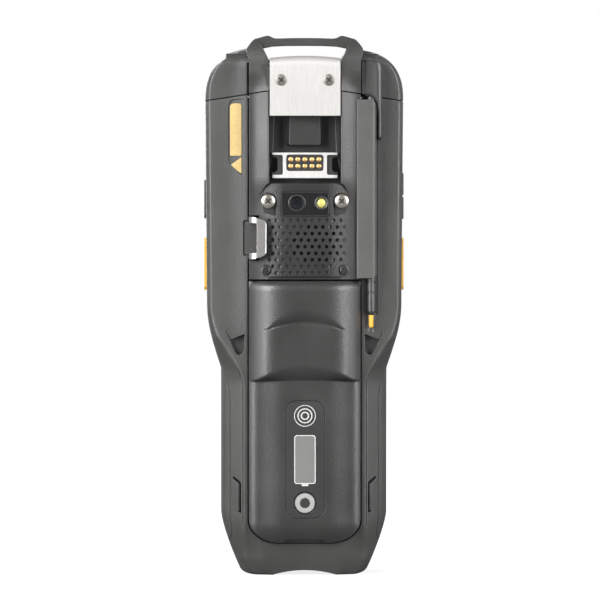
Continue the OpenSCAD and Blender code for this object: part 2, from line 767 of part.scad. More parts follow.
module centre_frame() {
    seat_y = panel_y + cover_t;
    color([0.15, 0.15, 0.15]) difference() {
        union() {
            intersection() {
                linear_extrude(far) spine_profile(frame_back_y);
                block([-far, -far, battery_top + 0.7], [far, far, far]);
            }
            block([-spine_x - 1.6, wing_y + wall + 0.1, battery_top + 2.2], [spine_x + 1.6, frame_back_y, seam_z - 6]);
        }
        cap_region(-0.1);
        along_y(-far, seat_y) cover_outline(0.1);
        block([2 - spine_x, seat_y + 2, cover_z + 1], [spine_x - 2, far, cover_top - 2]);
        block([-recess_x, -far, recess_z], [recess_x, recess_floor_y, seam_z + 1]);
        block([2 - spine_x, recess_floor_y + 2, cover_top - 3], [spine_x - 2, far, far]);
        block([strap_x - 9, -far, strap_z + 0.5], [strap_x + 3, wing_y + 1.2, strap_z + strap_h - 0.5]);
        for (z = [strap_z, strap_z + strap_h])
            block([strap_x - 9, -far, z - 1.6], [strap_x + 3.4, wing_y + 0.6, z + 1.6]);
        bar_y(speaker_x, speaker_z, -far, far, speaker_r + 0.3);
        bar_y(lens_x, lens_z, -far, far, module_r + 0.2);
        bar_y(flash_x, lens_z, -far, far, flash_r + 0.2);
        for (p = upper_screws) bar_y(p[0], p[1], -far, seat_y + 5, 1.3);
        for (p = lower_screws) bar_y(p[0], p[1], -far, seat_y + 5, 1.1);
        translate([stylus_x, stylus_y, 0]) cylinder(h = far, r = stylus_d / 2 + gap, $fn = 48);
    }
    color([0.15, 0.15, 0.15])
        block([-7, connector_y + 1.4, bracket_z + bracket_h + 2.8], [7, recess_floor_y + 1, seam_z - 5]);
    color([0.15, 0.15, 0.15]) for (p = upper_screws) screw_boss(p, seat_y, 1.3);
    color([0.15, 0.15, 0.15]) for (p = lower_screws) screw_boss(p, seat_y, 1.1);
}

module screw_boss(p, seat_y, bore_r) {
    difference() {
        bar_y(p[0], p[1], seat_y + 1.9, seat_y + 5.5, 2.4);
        bar_y(p[0], p[1], seat_y - 1, seat_y + 5, bore_r);
    }
}

// Grille rows from the top down as [place of the first hole in pitches, number of holes]
GRILLE = [[-5, 12], [-5.5, 12], [-5, 12], [-5.5, 12], [-5, 12], [-5.5, 12], [-5, 11], [-4.5, 9], [-4, 8]];
grille_row = 2.83;
grille_top = cover_z + 24.3;

// Holes over the speaker go right through, the others are blind
module grille_hole(x, z) {
    through = norm([x - speaker_x, z - speaker_z]) < speaker_r + 1.2;
    bar_y(x, z, panel_y - 1, panel_y + (through ? cover_t + 1 : 0.7), grille_d / 2);
}

module speaker_cover() {
    color([0.16, 0.16, 0.16]) difference() {
        along_y(panel_y, panel_y + cover_t) cover_outline();
        for (row = [0:len(GRILLE) - 1], i = [0:GRILLE[row][1] - 1])
            grille_hole((GRILLE[row][0] + i) * grille_pitch, grille_top - row * grille_row);
        along_y(-far, panel_y + 0.9) translate([window_x, window_z]) pad(window_w + 0.4, window_h + 0.4, 1.5);
        bar_y(lens_x, lens_z, -far, far, module_r + 0.2);
        bar_y(flash_x, lens_z, -far, far, flash_r + 0.2);
        for (p = upper_screws) {
            bar_y(p[0], p[1], -far, panel_y + 0.9, 3.7);
            bar_y(p[0], p[1], -far, far, 1.6);
        }
        for (p = lower_screws) {
            bar_y(p[0], p[1], -far, panel_y + 0.9, 2.6);
            bar_y(p[0], p[1], -far, far, 1.3);
        }
        block([strap_x + 1, -far, strap_z - 1.6], [strap_x + 3.4, far, strap_z + strap_h + 1.6]);
    }
}

module cover_screws_upper() {
    color([0.7, 0.7, 0.68]) for (p = upper_screws) screw(p[0], p[1], panel_y - 0.1, 3.2, 1, 1.2, cover_t + 3);
}

module cover_screws_lower() {
    color([0.2, 0.2, 0.2]) for (p = lower_screws) screw(p[0], p[1], panel_y - 0.1, 2.3, 1, 1, cover_t + 3);
}

module camera_window() {
    color([0.06, 0.06, 0.065]) difference() {
        along_y(panel_y + 0.1, panel_y + 0.9) translate([window_x, window_z]) pad(window_w, window_h, 1.3);
        bar_y(lens_x, lens_z, -far, far, module_r + 0.1);
        bar_y(flash_x, lens_z, -far, far, flash_r + 0.1);
    }
}

module camera_module() {
    color([0.1, 0.1, 0.11]) difference() {
        union() {
            bar_y(lens_x, lens_z, panel_y, panel_y + 5, module_r);
            block([lens_x - 4.5, panel_y + 5, lens_z - 4.5], [lens_x + 4.5, panel_y + 9, lens_z + 4.5]);
        }
        bar_y(lens_x, lens_z, panel_y - 1, panel_y + 0.6, 2.6);
    }
}

module flash_led() {
    color([0.9, 0.85, 0.6]) {
        bar_y(flash_x, lens_z, panel_y, panel_y + 3, flash_r);
        bar_y(flash_x, lens_z, panel_y + 3, panel_y + 5, 1.9);
    }
}

module speaker() {
    color([0.12, 0.12, 0.13]) {
        bar_y(speaker_x, speaker_z, panel_y + cover_t + 0.4, panel_y + cover_t + 4.4, speaker_r);
        bar_y(speaker_x, speaker_z, panel_y + cover_t + 4.4, panel_y + cover_t + 6.4, speaker_r - 3);
    }
}

// ------------------------------------------------------------- dock connector

bracket_z = cover_top + 2.3;
bracket_t = 4;
connector_y = panel_y + 2;
block_z = bracket_z + 3.1;
block_h = 7;
block_w = 16;

module connector_bracket() {
    x = bracket_w / 2;
    z1 = bracket_z + bracket_h;
    color([0.8, 0.79, 0.78]) along_y(connector_y, connector_y + bracket_t) difference() {
        polygon([[-x, bracket_z], [x, bracket_z], [x, bracket_z + 1.4], [x - 3.4, bracket_z + 3.6],
            [x - 3.4, z1 - 2.4], [x, z1 - 0.9], [x, z1], [-x, z1], [-x, z1 - 0.9], [3.4 - x, z1 - 2.4],
            [3.4 - x, bracket_z + 3.6], [-x, bracket_z + 1.4]]);
        translate([0, block_z + block_h / 2]) pad(block_w + 0.2, block_h + 0.2, 1.1);
    }
}

module connector_block() {
    color([0.08, 0.08, 0.08]) difference() {
        along_y(connector_y + 0.3, recess_floor_y) translate([0, block_z + block_h / 2]) pad(block_w, block_h, 1);
        for (p = contact_spots) bar_y(p[0], p[1], connector_y - 1, connector_y + 2.5, contact_d / 2 + 0.05);
    }
}

contact_spots = [for (i = [-2:2], j = [-0.5, 0.5])
    [i * contact_pitch, block_z + block_h / 2 + j * contact_pitch]];
module connector_contacts() {
    color([0.85, 0.65, 0.25])
        for (p = contact_spots) bar_y(p[0], p[1], connector_y + 0.1, connector_y + 2.5, contact_d / 2);
}

// ------------------------------------------------------- strap loop and label

strap_x = -spine_x + 3.2;
strap_z = battery_top + 10.4;
strap_h = 16.4;

module strap_loop() {
    y0 = back_y + 0.6;
    t = 1.3;
    w = 1.1;
    color([0.72, 0.71, 0.69]) difference() {
        translate([0, 0, strap_z - w]) linear_extrude(strap_h + 2 * w)
            polygon([[strap_x + 4.3, y0], [strap_x + 4.3, y0 + t], [strap_x, y0 + t], [strap_x - 1.9, y0 + 3.4],
                [strap_x - 1.9, wing_y + 0.6], [strap_x - 3.2, wing_y + 0.6], [strap_x - 3.2, y0 + 2.6],
                [strap_x - 1.2, y0]]);
        block([strap_x - 5, -far, strap_z + w], [strap_x, far, strap_z + strap_h - w]);
    }
}

// A strip above a plain triangular pointer
module warning_label() {
    x0 = label_x - label_strip_w / 2;
    x1 = label_x + label_strip_w / 2;
    z0 = label_z - label_pocket_h / 2 + 0.7;
    z1 = label_z + label_pocket_h / 2 - 1.8;
    color([0.93, 0.66, 0.2]) along_y(wing_y + 0.1, wing_y + 0.4) {
        translate([label_x, z1 - label_strip_h / 2]) pad(label_strip_w, label_strip_h, 1.1);
        polygon([[x0, z0 + label_sign_h / 2], [x1, z0], [x1, z0 + label_sign_h]]);
    }
}

// --------------------------------------------------------------------- stylus

sleeve_z = cover_z - 0.7;
sleeve_top = shoulder_z - 0.6;

module stylus_sleeve() {
    x0 = stylus_x - 6.3;
    x1 = stylus_x + stylus_d / 2 + gap + 0.6;
    color([0.2, 0.2, 0.195]) difference() {
        translate([0, 0, sleeve_z]) linear_extrude(sleeve_top - sleeve_z) polygon([[x0, panel_y + 1.2],
            [x0 + 1.4, panel_y - 0.6], [x1 - 1.6, panel_y - 0.6], [x1, panel_y + 1], [x1, wing_y - 0.1],
            [spine_x + 0.3, wing_y - 0.1], [spine_x + 0.3, panel_y + 2.2], [x0, panel_y + 1.9]]);
        translate([stylus_x, stylus_y, 0]) cylinder(h = far, r = stylus_d / 2 + gap, $fn = 48);
        intersection() {
            linear_extrude(far) spine_profile(0);
            block([0, -far, battery_top + 0.7], [far, far, far]);
        }
    }
}

tip_h = 5.6;
module stylus_tip() {
    color([0.95, 0.65, 0.15]) translate([stylus_x, stylus_y, stylus_z])
        cylinder(h = tip_h, r1 = 0.7, r2 = 1, $fn = 32);
}

module stylus_barrel() {
    color([0.12, 0.12, 0.12]) translate([stylus_x, stylus_y, 0]) difference() {
        union() {
            translate([0, 0, stylus_z + tip_h]) cylinder(h = 1.6, r1 = 1.1, r2 = stylus_d / 2, $fn = 48);
            translate([0, 0, stylus_z + tip_h + 1.6])
                cylinder(h = cap_z - stylus_z - tip_h - 1.6, d = stylus_d, $fn = 48);
        }
        for (z = [stylus_z + 15.3, stylus_z + 19.9]) difference() {
            translate([0, 0, z - 0.4]) cylinder(h = 0.8, d = stylus_d + 1, $fn = 48);
            translate([0, 0, z - 1]) cylinder(h = 2, d = stylus_d - 0.5, $fn = 48);
        }
    }
}

module stylus_cap() {
    y0 = stylus_y - 3.4;
    x1 = stylus_x + 4.7;
    color([0.1, 0.1, 0.1]) {
        along_y(y0, wing_y - 0.3) translate([(stylus_x - 2.7 + x1) / 2, (cap_z + stylus_top) / 2])
            pad(x1 - stylus_x + 2.7, stylus_top - cap_z, 1.6);
        along_y(y0 + 1.2, wing_y - 0.4) translate([x1 - 1, cap_z - 8.5]) pad(2, 21, 0.9);
    }
}

// ------------------------------------------------------------- inside the case

board_y = pocket_y + 3.6;
module main_board() {
    color([0.1, 0.35, 0.2]) block([-31, board_y, flare_end + 8], [31, board_y + 1.6, shoulder_z - 6]);
    color([0.1, 0.1, 0.1]) block([-12, board_y + 1.6, flare_end + 26], [12, board_y + 4, flare_end + 50]);
}

module battery_socket() {
    y0 = pocket_y + pocket_floor;
    color([0.12, 0.12, 0.12]) block([-11, y0, contact_z - 3.5], [11, y0 + 2.5, contact_z + 3.5]);
    color([0.85, 0.68, 0.3]) for (x = contact_places)
        block([x - 0.8, pocket_y - 0.2, contact_z - 1.6], [x + 0.8, y0, contact_z + 1.6]);
}

glass_y1 = front_y - wall - 0.1;
module display_glass() {
    color([0.08, 0.08, 0.09]) along_y(glass_y1 - glass_t, glass_y1) translate([0, glass_z]) pad(glass_w, glass_h, 3);
}

module display_module() {
    y1 = glass_y1 - glass_t - 0.1;
    color([0.3, 0.3, 0.32]) block([3 - glass_w / 2, y1 - 4, glass_z0 + 3], [glass_w / 2 - 3, y1, glass_z1 - 3]);
}

module earpiece() {
    color([0.15, 0.15, 0.15]) along_y(glass_y1 - 5, glass_y1 - 1.6) translate([0, earpiece_z]) pad(16, 5, 1);
}

key_flange_y = keypad_y - wall - 0.2;
key_y0 = key_flange_y - 1;
mat_y = key_flange_y - 0.7 - key_travel - 0.2;

module number_key(row, column) {
    color([0.28, 0.28, 0.28]) {
        number_key_prism(row, column, 0, key_flange_y, keypad_y + key_proud);
        number_key_prism(row, column, 0.6, key_flange_y - 0.7, key_flange_y);
    }
}

module round_key(x, r) {
    bar_y(x, enter_z, key_flange_y, keypad_y + key_proud, r);
    bar_y(x, enter_z, key_flange_y - 0.7, key_flange_y, r + 0.6);
}

module enter_key() {
    color([0.9, 0.6, 0.15]) round_key(0, 8);
}

module power_key() {
    color([0.6, 0.15, 0.12]) round_key(power_x, 3.6);
}

module keypad_mat() {
    color([0.3, 0.3, 0.31]) block([-29, mat_y - 1, key_board_z0], [29, mat_y, key_board_z1]);
}

module keypad_board() {
    color([0.1, 0.35, 0.2]) block([-29, mat_y - 2.6, key_board_z0], [29, mat_y - 1, key_board_z1]);
}

module volume_rocker() {
    color([0.4, 0.4, 0.39]) side_key(rocker_key);
}

module scan_key_left() {
    color([0.95, 0.7, 0.1]) side_key(scan_left);
}

module scan_key_right() {
    color([0.95, 0.7, 0.1]) side_key(scan_right);
}

module side_key_upper() {
    color([0.4, 0.4, 0.39]) side_key(upper_key);
}

module side_key_lower() {
    color([0.4, 0.4, 0.39]) side_key(lower_key);
}

rear_housing();
front_housing();
top_cap();
centre_frame();
housing_gasket();
housing_screws();
speaker_cover();
cover_screws_upper();
cover_screws_lower();
camera_window();
camera_module();
flash_led();
hook_plate();
plate_screws();
connector_bracket();
connector_block();
connector_contacts();
strap_loop();
stylus_sleeve();
warning_label();
battery_socket();
main_board();
display_module();
display_glass();
earpiece();
keypad_board();
keypad_mat();
scan_engine();
scan_window();
speaker();
battery_shell();
battery_tray();
battery_cells();
battery_contacts();
gauge_window();
gauge_button();
stylus_barrel();
stylus_tip();
stylus_cap();
latch_button(-1);  // latch_button_left
latch_button(1);  // latch_button_right
volume_rocker();
scan_key_left();
scan_key_right();
side_key_upper();
side_key_lower();
power_key();
enter_key();
for (row = [0:KEY_ROWS - 1], column = [0:KEY_COLUMNS - 1])
    number_key(row, column);
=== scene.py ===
import math

import bmesh
import bpy
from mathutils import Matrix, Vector


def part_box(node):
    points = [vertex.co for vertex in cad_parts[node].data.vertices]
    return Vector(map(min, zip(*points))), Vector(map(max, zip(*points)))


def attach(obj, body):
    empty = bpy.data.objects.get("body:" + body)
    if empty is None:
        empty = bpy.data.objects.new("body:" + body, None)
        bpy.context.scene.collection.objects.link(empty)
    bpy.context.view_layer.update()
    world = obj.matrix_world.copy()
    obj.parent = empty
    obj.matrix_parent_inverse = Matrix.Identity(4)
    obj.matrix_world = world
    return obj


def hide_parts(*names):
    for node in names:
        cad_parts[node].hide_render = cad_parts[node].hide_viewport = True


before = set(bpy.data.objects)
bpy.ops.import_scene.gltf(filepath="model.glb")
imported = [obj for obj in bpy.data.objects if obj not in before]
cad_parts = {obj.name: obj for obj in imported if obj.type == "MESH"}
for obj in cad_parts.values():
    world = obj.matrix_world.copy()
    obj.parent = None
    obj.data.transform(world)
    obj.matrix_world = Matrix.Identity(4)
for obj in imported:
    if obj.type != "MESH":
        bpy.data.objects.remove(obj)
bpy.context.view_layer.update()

# ------------------------------------------------------------ sizes, in millimetres
# Seen from the back, x runs to the right. y runs from the back to the display, and z upward.

MM = 0.001
FAR = 400.0
GAP = 0.3
SEAM_GAP = 0.4

# Housing, across and up
BODY_H = 234.0
BODY_W = 87.0
WALL = 2.2
GRIP_X = 36.2
GRIP_CREASE_X = 26.8
FOOT_X = 27.0
FOOT_R = 2.3
FOOT_ARCH_H = 2.1
FOOT_ARCH_X = 13.9
FOOT_ARCH_R = (FOOT_ARCH_X**2 + FOOT_ARCH_H**2) / (2 * FOOT_ARCH_H)
FLARE_Z = 90.0
FLARE_H = 28.0
FLARE_START = FLARE_Z - 8
FLARE_END = FLARE_Z + FLARE_H
SHOULDER_H = 21.6
SHOULDER_X = 20.0
SHOULDER_BEND = 2.4
HOUSING_H = BODY_H - 5.4
SHOULDER_Z = HOUSING_H - SHOULDER_H
SEAM_Z = SHOULDER_Z + 3.3
SEAM_FALL = 4.4
TOP_ROUND_Z = HOUSING_H - 7.8
SIDE_X = BODY_W / 2 - 0.5
BEVEL_W = 3.2
FOLD_X = 24.8
WING_TAPER = 0.9
WING_BEVEL = 1.8
WING_RISE = 1.3
WING_TILT = 2.2

# Housing, in depth
BACK_Y = -25.0
FRONT_Y = 25.0
WING_Y = BACK_Y + 9.5
GRIP_Y = WING_Y - 0.5
PANEL_Y = WING_Y - 6.0
RIDGE_Y = PANEL_Y - 1.0
KEYPAD_STEP = 5.0
PART_HIGH_Y = WING_Y + 21.5
PART_LOW_Y = GRIP_Y + 5.8
POCKET_Y = WING_Y + 17.5
SIDE_DEPTH = 10.0
SIDE_DEPTH_FALL = 5.8
BOOT_TUCK = 3.0
TOP_TUCK = 5.0
FRONT_TUCK = 7.0

# Battery
BATTERY_Z = 14.3
BATTERY_TOP = 128.0
BATTERY_X = 24.25
BATTERY_R = 11.0
BATTERY_LOW_Y = GRIP_Y - 4.5
BATTERY_EDGE_Y = GRIP_Y - 0.2
HUMP_HEIGHT = BATTERY_EDGE_Y - BACK_Y
BUMP_HEIGHT = HUMP_HEIGHT - 1.5
LOW_HEIGHT = BATTERY_EDGE_Y - BATTERY_LOW_Y
VALLEY_Z = BATTERY_TOP - 17.7
VALLEY_X = 17.0
VALLEY_REACH = 5.6
STEP_Z = BATTERY_TOP - 43
STEP_X = 22.0
STEP_REACH = 7.0
LIP = 0.7
LIP_H = 0.6
POCKET_GAP = 0.45
POCKET_WALL = 1.5
BOOT_TOP = BATTERY_Z + 12.7
BOOT_Z = BATTERY_Z - 0.8
BUTTON_Z = BATTERY_Z + 17.6
RINGS_Z = BATTERY_Z + 55.4
LABEL_MID = (BUTTON_Z + RINGS_Z) / 2
LABEL_W = 17.4
GAUGE_Z0 = BATTERY_Z + 26
GAUGE_Z1 = BATTERY_Z + 46.9
GAUGE_MID = (GAUGE_Z0 + GAUGE_Z1) / 2
GAUGE_H = GAUGE_Z1 - GAUGE_Z0
GAUGE_W = 9.0
LATCH_Z = BATTERY_Z + 20.8
LATCH_X = 29.5

# Spine, cover plate and dock
SPINE_X = 24.2
RECESS_X = 15.5
COVER_Z = BATTERY_TOP + 1.9
COVER_TOP = COVER_Z + 40.3
COVER_X = 19.9
COVER_T = 1.8
COVER_FALL = 2.6
COVER_BEND = (8.5, 23.5)
RECESS_Z = COVER_TOP + 0.3
RECESS_FLOOR_Y = RIDGE_Y + 9
FRAME_BACK_Y = WING_Y + WALL + 1.8
PLATE_TOP = HOUSING_H - 3.2
PLATE_X = 15.2
PLATE_SEAT_Y = RIDGE_Y + 0.8
SLOT_X = 15.5
SLOT_FLOOR_Z = PLATE_TOP - 1.6
CAP_START = 200.0
SPINE_END = 215.0
LOOP_TOP = BODY_H + 6
BRACKET_Y = RIDGE_Y + 3.0
BRACKET_X = 14.1
BRACKET_Z0 = COVER_TOP + 2.3
BRACKET_Z1 = BRACKET_Z0 + 11
CONTACT_Z = BRACKET_Z0 + 6.6
CONTACT_PITCH = 3.04
CONTACT_ROW = 2.9
LENS = (-3.5, COVER_Z + 31.8)
FLASH = (7.1, COVER_Z + 31.8)
WINDOW = (0.1, COVER_Z + 31.4)
SPEAKER = (4.8, COVER_Z + 14)
SPEAKER_REACH = (10.9, 7.9)
UPPER_SCREWS = [(s * 15.9, COVER_Z + 32.6) for s in (-1, 1)]
LOWER_SCREWS = [(s * 17.0, COVER_Z + 2.8) for s in (-1, 1)]
PLATE_SCREWS = [(s * 10.3, PLATE_TOP - 10.7) for s in (-1, 1)]

# Grille rows from the top: first hole in pitches from the middle, and count
GRILLE = [(-5, 12), (-5.5, 12), (-5, 12), (-5.5, 12), (-5, 12), (-5.5, 12), (-5, 11), (-4.5, 9), (-4, 8)]
GRILLE_PITCH = 3.09
GRILLE_ROW = 2.83
GRILLE_TOP = COVER_Z + 24.3
GRILLE_R = 0.8

# Stylus, label and strap loop
STYLUS_X = 28.8
STYLUS_Y = WING_Y - 1
STYLUS_D = 3.6
STYLUS_Z = 107.6
STYLUS_TOP = HOUSING_H - 4
BORE_START = 100.0
SLEEVE_Z0 = STYLUS_Z + 21.6
CAP_Z = SHOULDER_Z + 0.7
LABEL_X = -SPINE_X - 5.6
LABEL_H = 33.0
LABEL_Z = SHOULDER_Z - 0.3 - LABEL_H / 2
STRAP_X = -SPINE_X + 3.2
STRAP_Z = BATTERY_TOP + 10.4
STRAP_H = 16.4
STRAP_MID = STRAP_Z + STRAP_H / 2

# Side keys as side, lower edge and height
SIDE_KEY_Y = WING_Y + 13.5
SIDE_KEY_W = 7.0
SIDE_KEYS = {
    "volume_rocker": (-1, BATTERY_TOP + 27.1, 16.7),
    "scan_key_left": (-1, BATTERY_TOP - 4.1, 22.7),
    "scan_key_right": (1, BATTERY_TOP - 4.1, 22.7),
    "side_key_upper": (1, BATTERY_TOP + 37.2, 9.7),
    "side_key_lower": (1, BATTERY_TOP + 26.8, 9.7),
}

# Front
GLASS_Y = FRONT_Y - WALL - 0.1
GLASS_Z0 = FLARE_END + 4.9
GLASS_Z1 = SEAM_Z - SEAM_FALL - 3
GLASS_W = 66.0
SCREEN_W = 56.5
SCREEN_H = 71.0
SCREEN_Z = 163.2
ENTER_Z = FLARE_Z + 6
ENTER_R = 8.0
POWER_X = 22.0
POWER_R = 3.6
KEY_W = 14.0
KEY_H = 10.0
KEY_ROWS = 4
KEY_COLUMNS = 3
KEY_STEP_X = 18.0
KEY_STEP_Z = 15.5
LOWEST_KEY_Z = 34.0
LEGEND_H = 4.6
LEGEND_W = 0.55

# ------------------------------------------------------------ the housing's form


def ease(a, b, v):
    """Smooth step from 0 at a to 1 at b."""
    t = max(0.0, min(1.0, (v - a) / (b - a)))
    return t * t * (3 - 2 * t)


def wing_x(z):
    return SIDE_X - WING_TAPER * (SHOULDER_Z - z) / (SHOULDER_Z - FLARE_Z)


def foot_round(z):
    return FOOT_R - math.sqrt(FOOT_R**2 - (FOOT_R - z) ** 2) if z < FOOT_R else 0.0


def half_width(z):
    if z < BOOT_TOP:
        return FOOT_X + (GRIP_X - FOOT_X) * (1 - (1 - z / BOOT_TOP) ** 1.35) - foot_round(z)
    if z < FLARE_Z:
        return GRIP_X
    if z < SHOULDER_Z:
        return GRIP_X + (wing_x(z) - GRIP_X) * math.sin(math.radians(90 * min(1, (z - FLARE_Z) / FLARE_H)))
    bend = max(0.0, 1 - ((z - SHOULDER_Z) / SHOULDER_H) ** SHOULDER_BEND)
    return SHOULDER_X + (SIDE_X - SHOULDER_X) * bend ** (1 / SHOULDER_BEND)


def crease_x(z):
    """Where the back meets the bevel to the side."""
    spread = ease(FLARE_START, FLARE_END - 6, z)
    bevel_w = BEVEL_W + (WING_BEVEL - BEVEL_W) * spread
    wide = GRIP_CREASE_X + (SIDE_X - bevel_w - GRIP_CREASE_X) * spread
    return min(wide, half_width(z) - bevel_w)


def back_at(z):
    return (
        WING_Y
        + (GRIP_Y - WING_Y) * (1 - ease(FLARE_START, FLARE_END, z))
        + BOOT_TUCK * max(0.0, 1 - z / BOOT_TOP) ** 2
        + TOP_TUCK * max(0.0, (z - TOP_ROUND_Z) / (HOUSING_H - TOP_ROUND_Z)) ** 2
    )


def side_back_at(z):
    """Depth at which the bevel from the back reaches the side."""
    return back_at(z) + SIDE_DEPTH - SIDE_DEPTH_FALL * ease(FLARE_START, FLARE_END, z)


def front_at(z):
    return (
        FRONT_Y
        - KEYPAD_STEP * (1 - ease(FLARE_END - 14, FLARE_END - 2, z))
        - FRONT_TUCK * max(0.0, 1 - z / BOOT_Z) ** 2
        - FRONT_TUCK * max(0.0, (z - SHOULDER_Z) / SHOULDER_H) ** 3
    )


def back_corners(z):
    """Fold, middle and crease of the back at height z. The boot folds nearer the middle."""
    back, crease = back_at(z), crease_x(z)
    boot = 1 - ease(9, 23, z)
    fold = min(FOLD_X, crease - 4) - 5 * boot
    mid = fold + (0.38 + 0.12 * boot) * (crease - fold)
    tilt = ease(FLARE_START - 4, FLARE_END, z) * (crease - fold) / (SIDE_X - WING_BEVEL - FOLD_X)
    tilt += 0.9 * boot
    return [(fold, back), (mid, back + WING_RISE * tilt), (crease, back + WING_TILT * tilt)]


def towards(corner, other, reach):
    return corner + (other - corner).normalized() * reach


def arc(start, corner, end, steps):
    """Points of a curve that leaves start and reaches end in the directions of corner."""
    turns = [k / steps for k in range(steps + 1)]
    return [(1 - t) ** 2 * start + 2 * t * (1 - t) * corner + t * t * end for t in turns]


def inward(a, b):
    u = (b - a).normalized()
    return Vector((-u.y, u.x))


def half_section(z, inset):
    """Right half of the cross-section at height z, inset all round, from the back to the front."""
    side, front = half_width(z), front_at(z)
    corners = [(0, back_at(z)), *back_corners(z), (side, side_back_at(z))]
    corners += [(side, front - 9), (side - 5, front), (0, front)]
    crease_round = 3.4 - 2.9 * ease(FLARE_START + 8, FLARE_END, z)
    rounds = (1.2, 4, crease_round, 3.5, 4.5, 3.5)
    spans = (7, 1, 2, 1, 2, 1, 8)
    corners = [Vector(p) for p in corners]
    normals = [inward(a, b) for a, b in zip(corners, corners[1:])]
    points = [Vector((0, corners[0].y + inset))]
    for corner, m, n in zip(corners[1:], normals, normals[1:]):
        points.append(corner + (m + n) * inset / (1 + m.dot(n)))
    points.append(Vector((0, corners[-1].y - inset)))
    out = []
    for i, wish in enumerate(rounds, 1):
        before, corner, after = points[i - 1 : i + 2]
        reach = min(wish, 0.45 * (before - corner).length, 0.45 * (after - corner).length)
        start, end = towards(corner, before, reach), towards(corner, after, reach)
        last = out[-1] if out else points[0]
        count = spans[i - 1]
        out += [last.lerp(start, k / count) for k in range(1 if out else 0, count)]
        out += arc(start, corner, end, 7)
    out += [out[-1].lerp(points[-1], k / spans[-1]) for k in range(1, spans[-1] + 1)]
    return out


WING_LINE = half_section(SHOULDER_Z - 30, 0)


def wing_y(x):
    """Depth of the wing's surface at x, on the straight part of the housing."""
    for a, b in zip(WING_LINE, WING_LINE[1:]):
        if a.x <= abs(x) <= b.x and b.x > a.x:
            return a.y + (b.y - a.y) * (abs(x) - a.x) / (b.x - a.x)
    return WING_Y


def form_heights():
    """Heights of the form's rings, closest together where it curves."""
    z = [FOOT_R * (1 - math.cos(math.radians(15 * k))) for k in range(6)]
    for low, high, count in (
        (FOOT_R, BOOT_TOP, 16),
        (BOOT_TOP, FLARE_START, 12),
        (FLARE_START, FLARE_END, 32),
        (FLARE_END, SHOULDER_Z, 18),
    ):
        z += [low + (high - low) * k / count for k in range(count)]
    z += [SHOULDER_Z + SHOULDER_H * math.sin(math.radians(81 * k / 26)) for k in range(27)]
    return z


# ------------------------------------------------------------ solids


def temp_object(name, verts, faces):
    mesh = bpy.data.meshes.new(name)
    mesh.from_pydata([tuple(c * MM for c in v) for v in verts], [], faces)
    bm = bmesh.new()
    bm.from_mesh(mesh)
    bmesh.ops.recalc_face_normals(bm, faces=bm.faces)
    bm.to_mesh(mesh)
    bm.free()
    obj = bpy.data.objects.new(name, mesh)
    bpy.context.scene.collection.objects.link(obj)
    return obj


def loft(name, rings):
    """A closed solid through rings of equally many points."""
    n = len(rings[0])
    verts = [tuple(p) for r in rings for p in r]
    faces = [tuple(range(n))]
    for i in range(len(rings) - 1):
        for j in range(n):
            a, b = i * n + j, i * n + (j + 1) % n
            faces.append((a, b, b + n, a + n))
    faces.append(tuple((len(rings) - 1) * n + j for j in range(n)))
    return temp_object(name, verts, faces)


def form(inset=0.0):
    """The whole housing as one solid, inset all round."""
    heights = form_heights()
    top = heights[-1]
    rings = []
    for z in heights:
        half = half_section(z, inset)
        ring = half + [Vector((-p.x, p.y)) for p in reversed(half[1:-1])]
        height = inset + z * (top - 2 * inset) / top
        rings.append([(p.x, p.y, height) for p in ring])
    return loft("form", rings)


def prism(axis, outline, lo, hi):
    """Outline extruded along x, y or z. Its two coordinates are the other two, in order."""
    order = {"x": (2, 0, 1), "y": (0, 2, 1), "z": (0, 1, 2)}[axis]
    n = len(outline)
    verts = [tuple((a, b, end)[i] for i in order) for end in (lo, hi) for a, b in outline]
    faces = [tuple(range(n)), tuple(range(2 * n - 1, n - 1, -1))]
    faces += [(j, j + n, (j + 1) % n + n, (j + 1) % n) for j in range(n)]
    return temp_object("prism", verts, faces)


def joined(parts):
    """Several solids in one object."""
    first, *rest = parts
    bm = bmesh.new()
    bm.from_mesh(first.data)
    for obj in rest:
        bm.from_mesh(obj.data)
        bpy.data.objects.remove(obj)
    bm.to_mesh(first.data)
    bm.free()
    return first


def prisms(axis, outlines, lo, hi):
    """Several separate prisms in one object, all between the same two planes."""
    return joined([prism(axis, outline, lo, hi) for outline in outlines])


def hull(points):
    """Convex outline round a set of points."""
    points = sorted(set(points))

    def side(row):
        out = []
        for p in row:
            while len(out) > 1:
                (ax, ay), (bx, by) = out[-2], out[-1]
                if (bx - ax) * (p[1] - ay) - (by - ay) * (p[0] - ax) > 0:
                    break
                out.pop()
            out.append(p)
        return out[:-1]

    return side(points) + side(points[::-1])


def circle(x, z, r, n=48):
    turns = [2 * math.pi * k / n for k in range(n)]
    return [(x + r * math.cos(a), z + r * math.sin(a)) for a in turns]


def rect(x0, z0, x1, z1):
    return [(x0, z0), (x1, z0), (x1, z1), (x0, z1)]


def pad(x, z, w, h, r, steps=6):
    """Rectangle with round corners about x, z."""
    out = []
    for cx, cz, start in ((1, 1, 0), (-1, 1, 90), (-1, -1, 180), (1, -1, 270)):
        for k in range(steps + 1):
            a = math.radians(start + 90 * k / steps)
            out.append((x + cx * (w / 2 - r) + r * math.cos(a), z + cz * (h / 2 - r) + r * math.sin(a)))
    return out


def flipped(points, side):
    """Points for the right side, or their mirror image for side -1."""
    return [(side * a, b) for a, b in points]


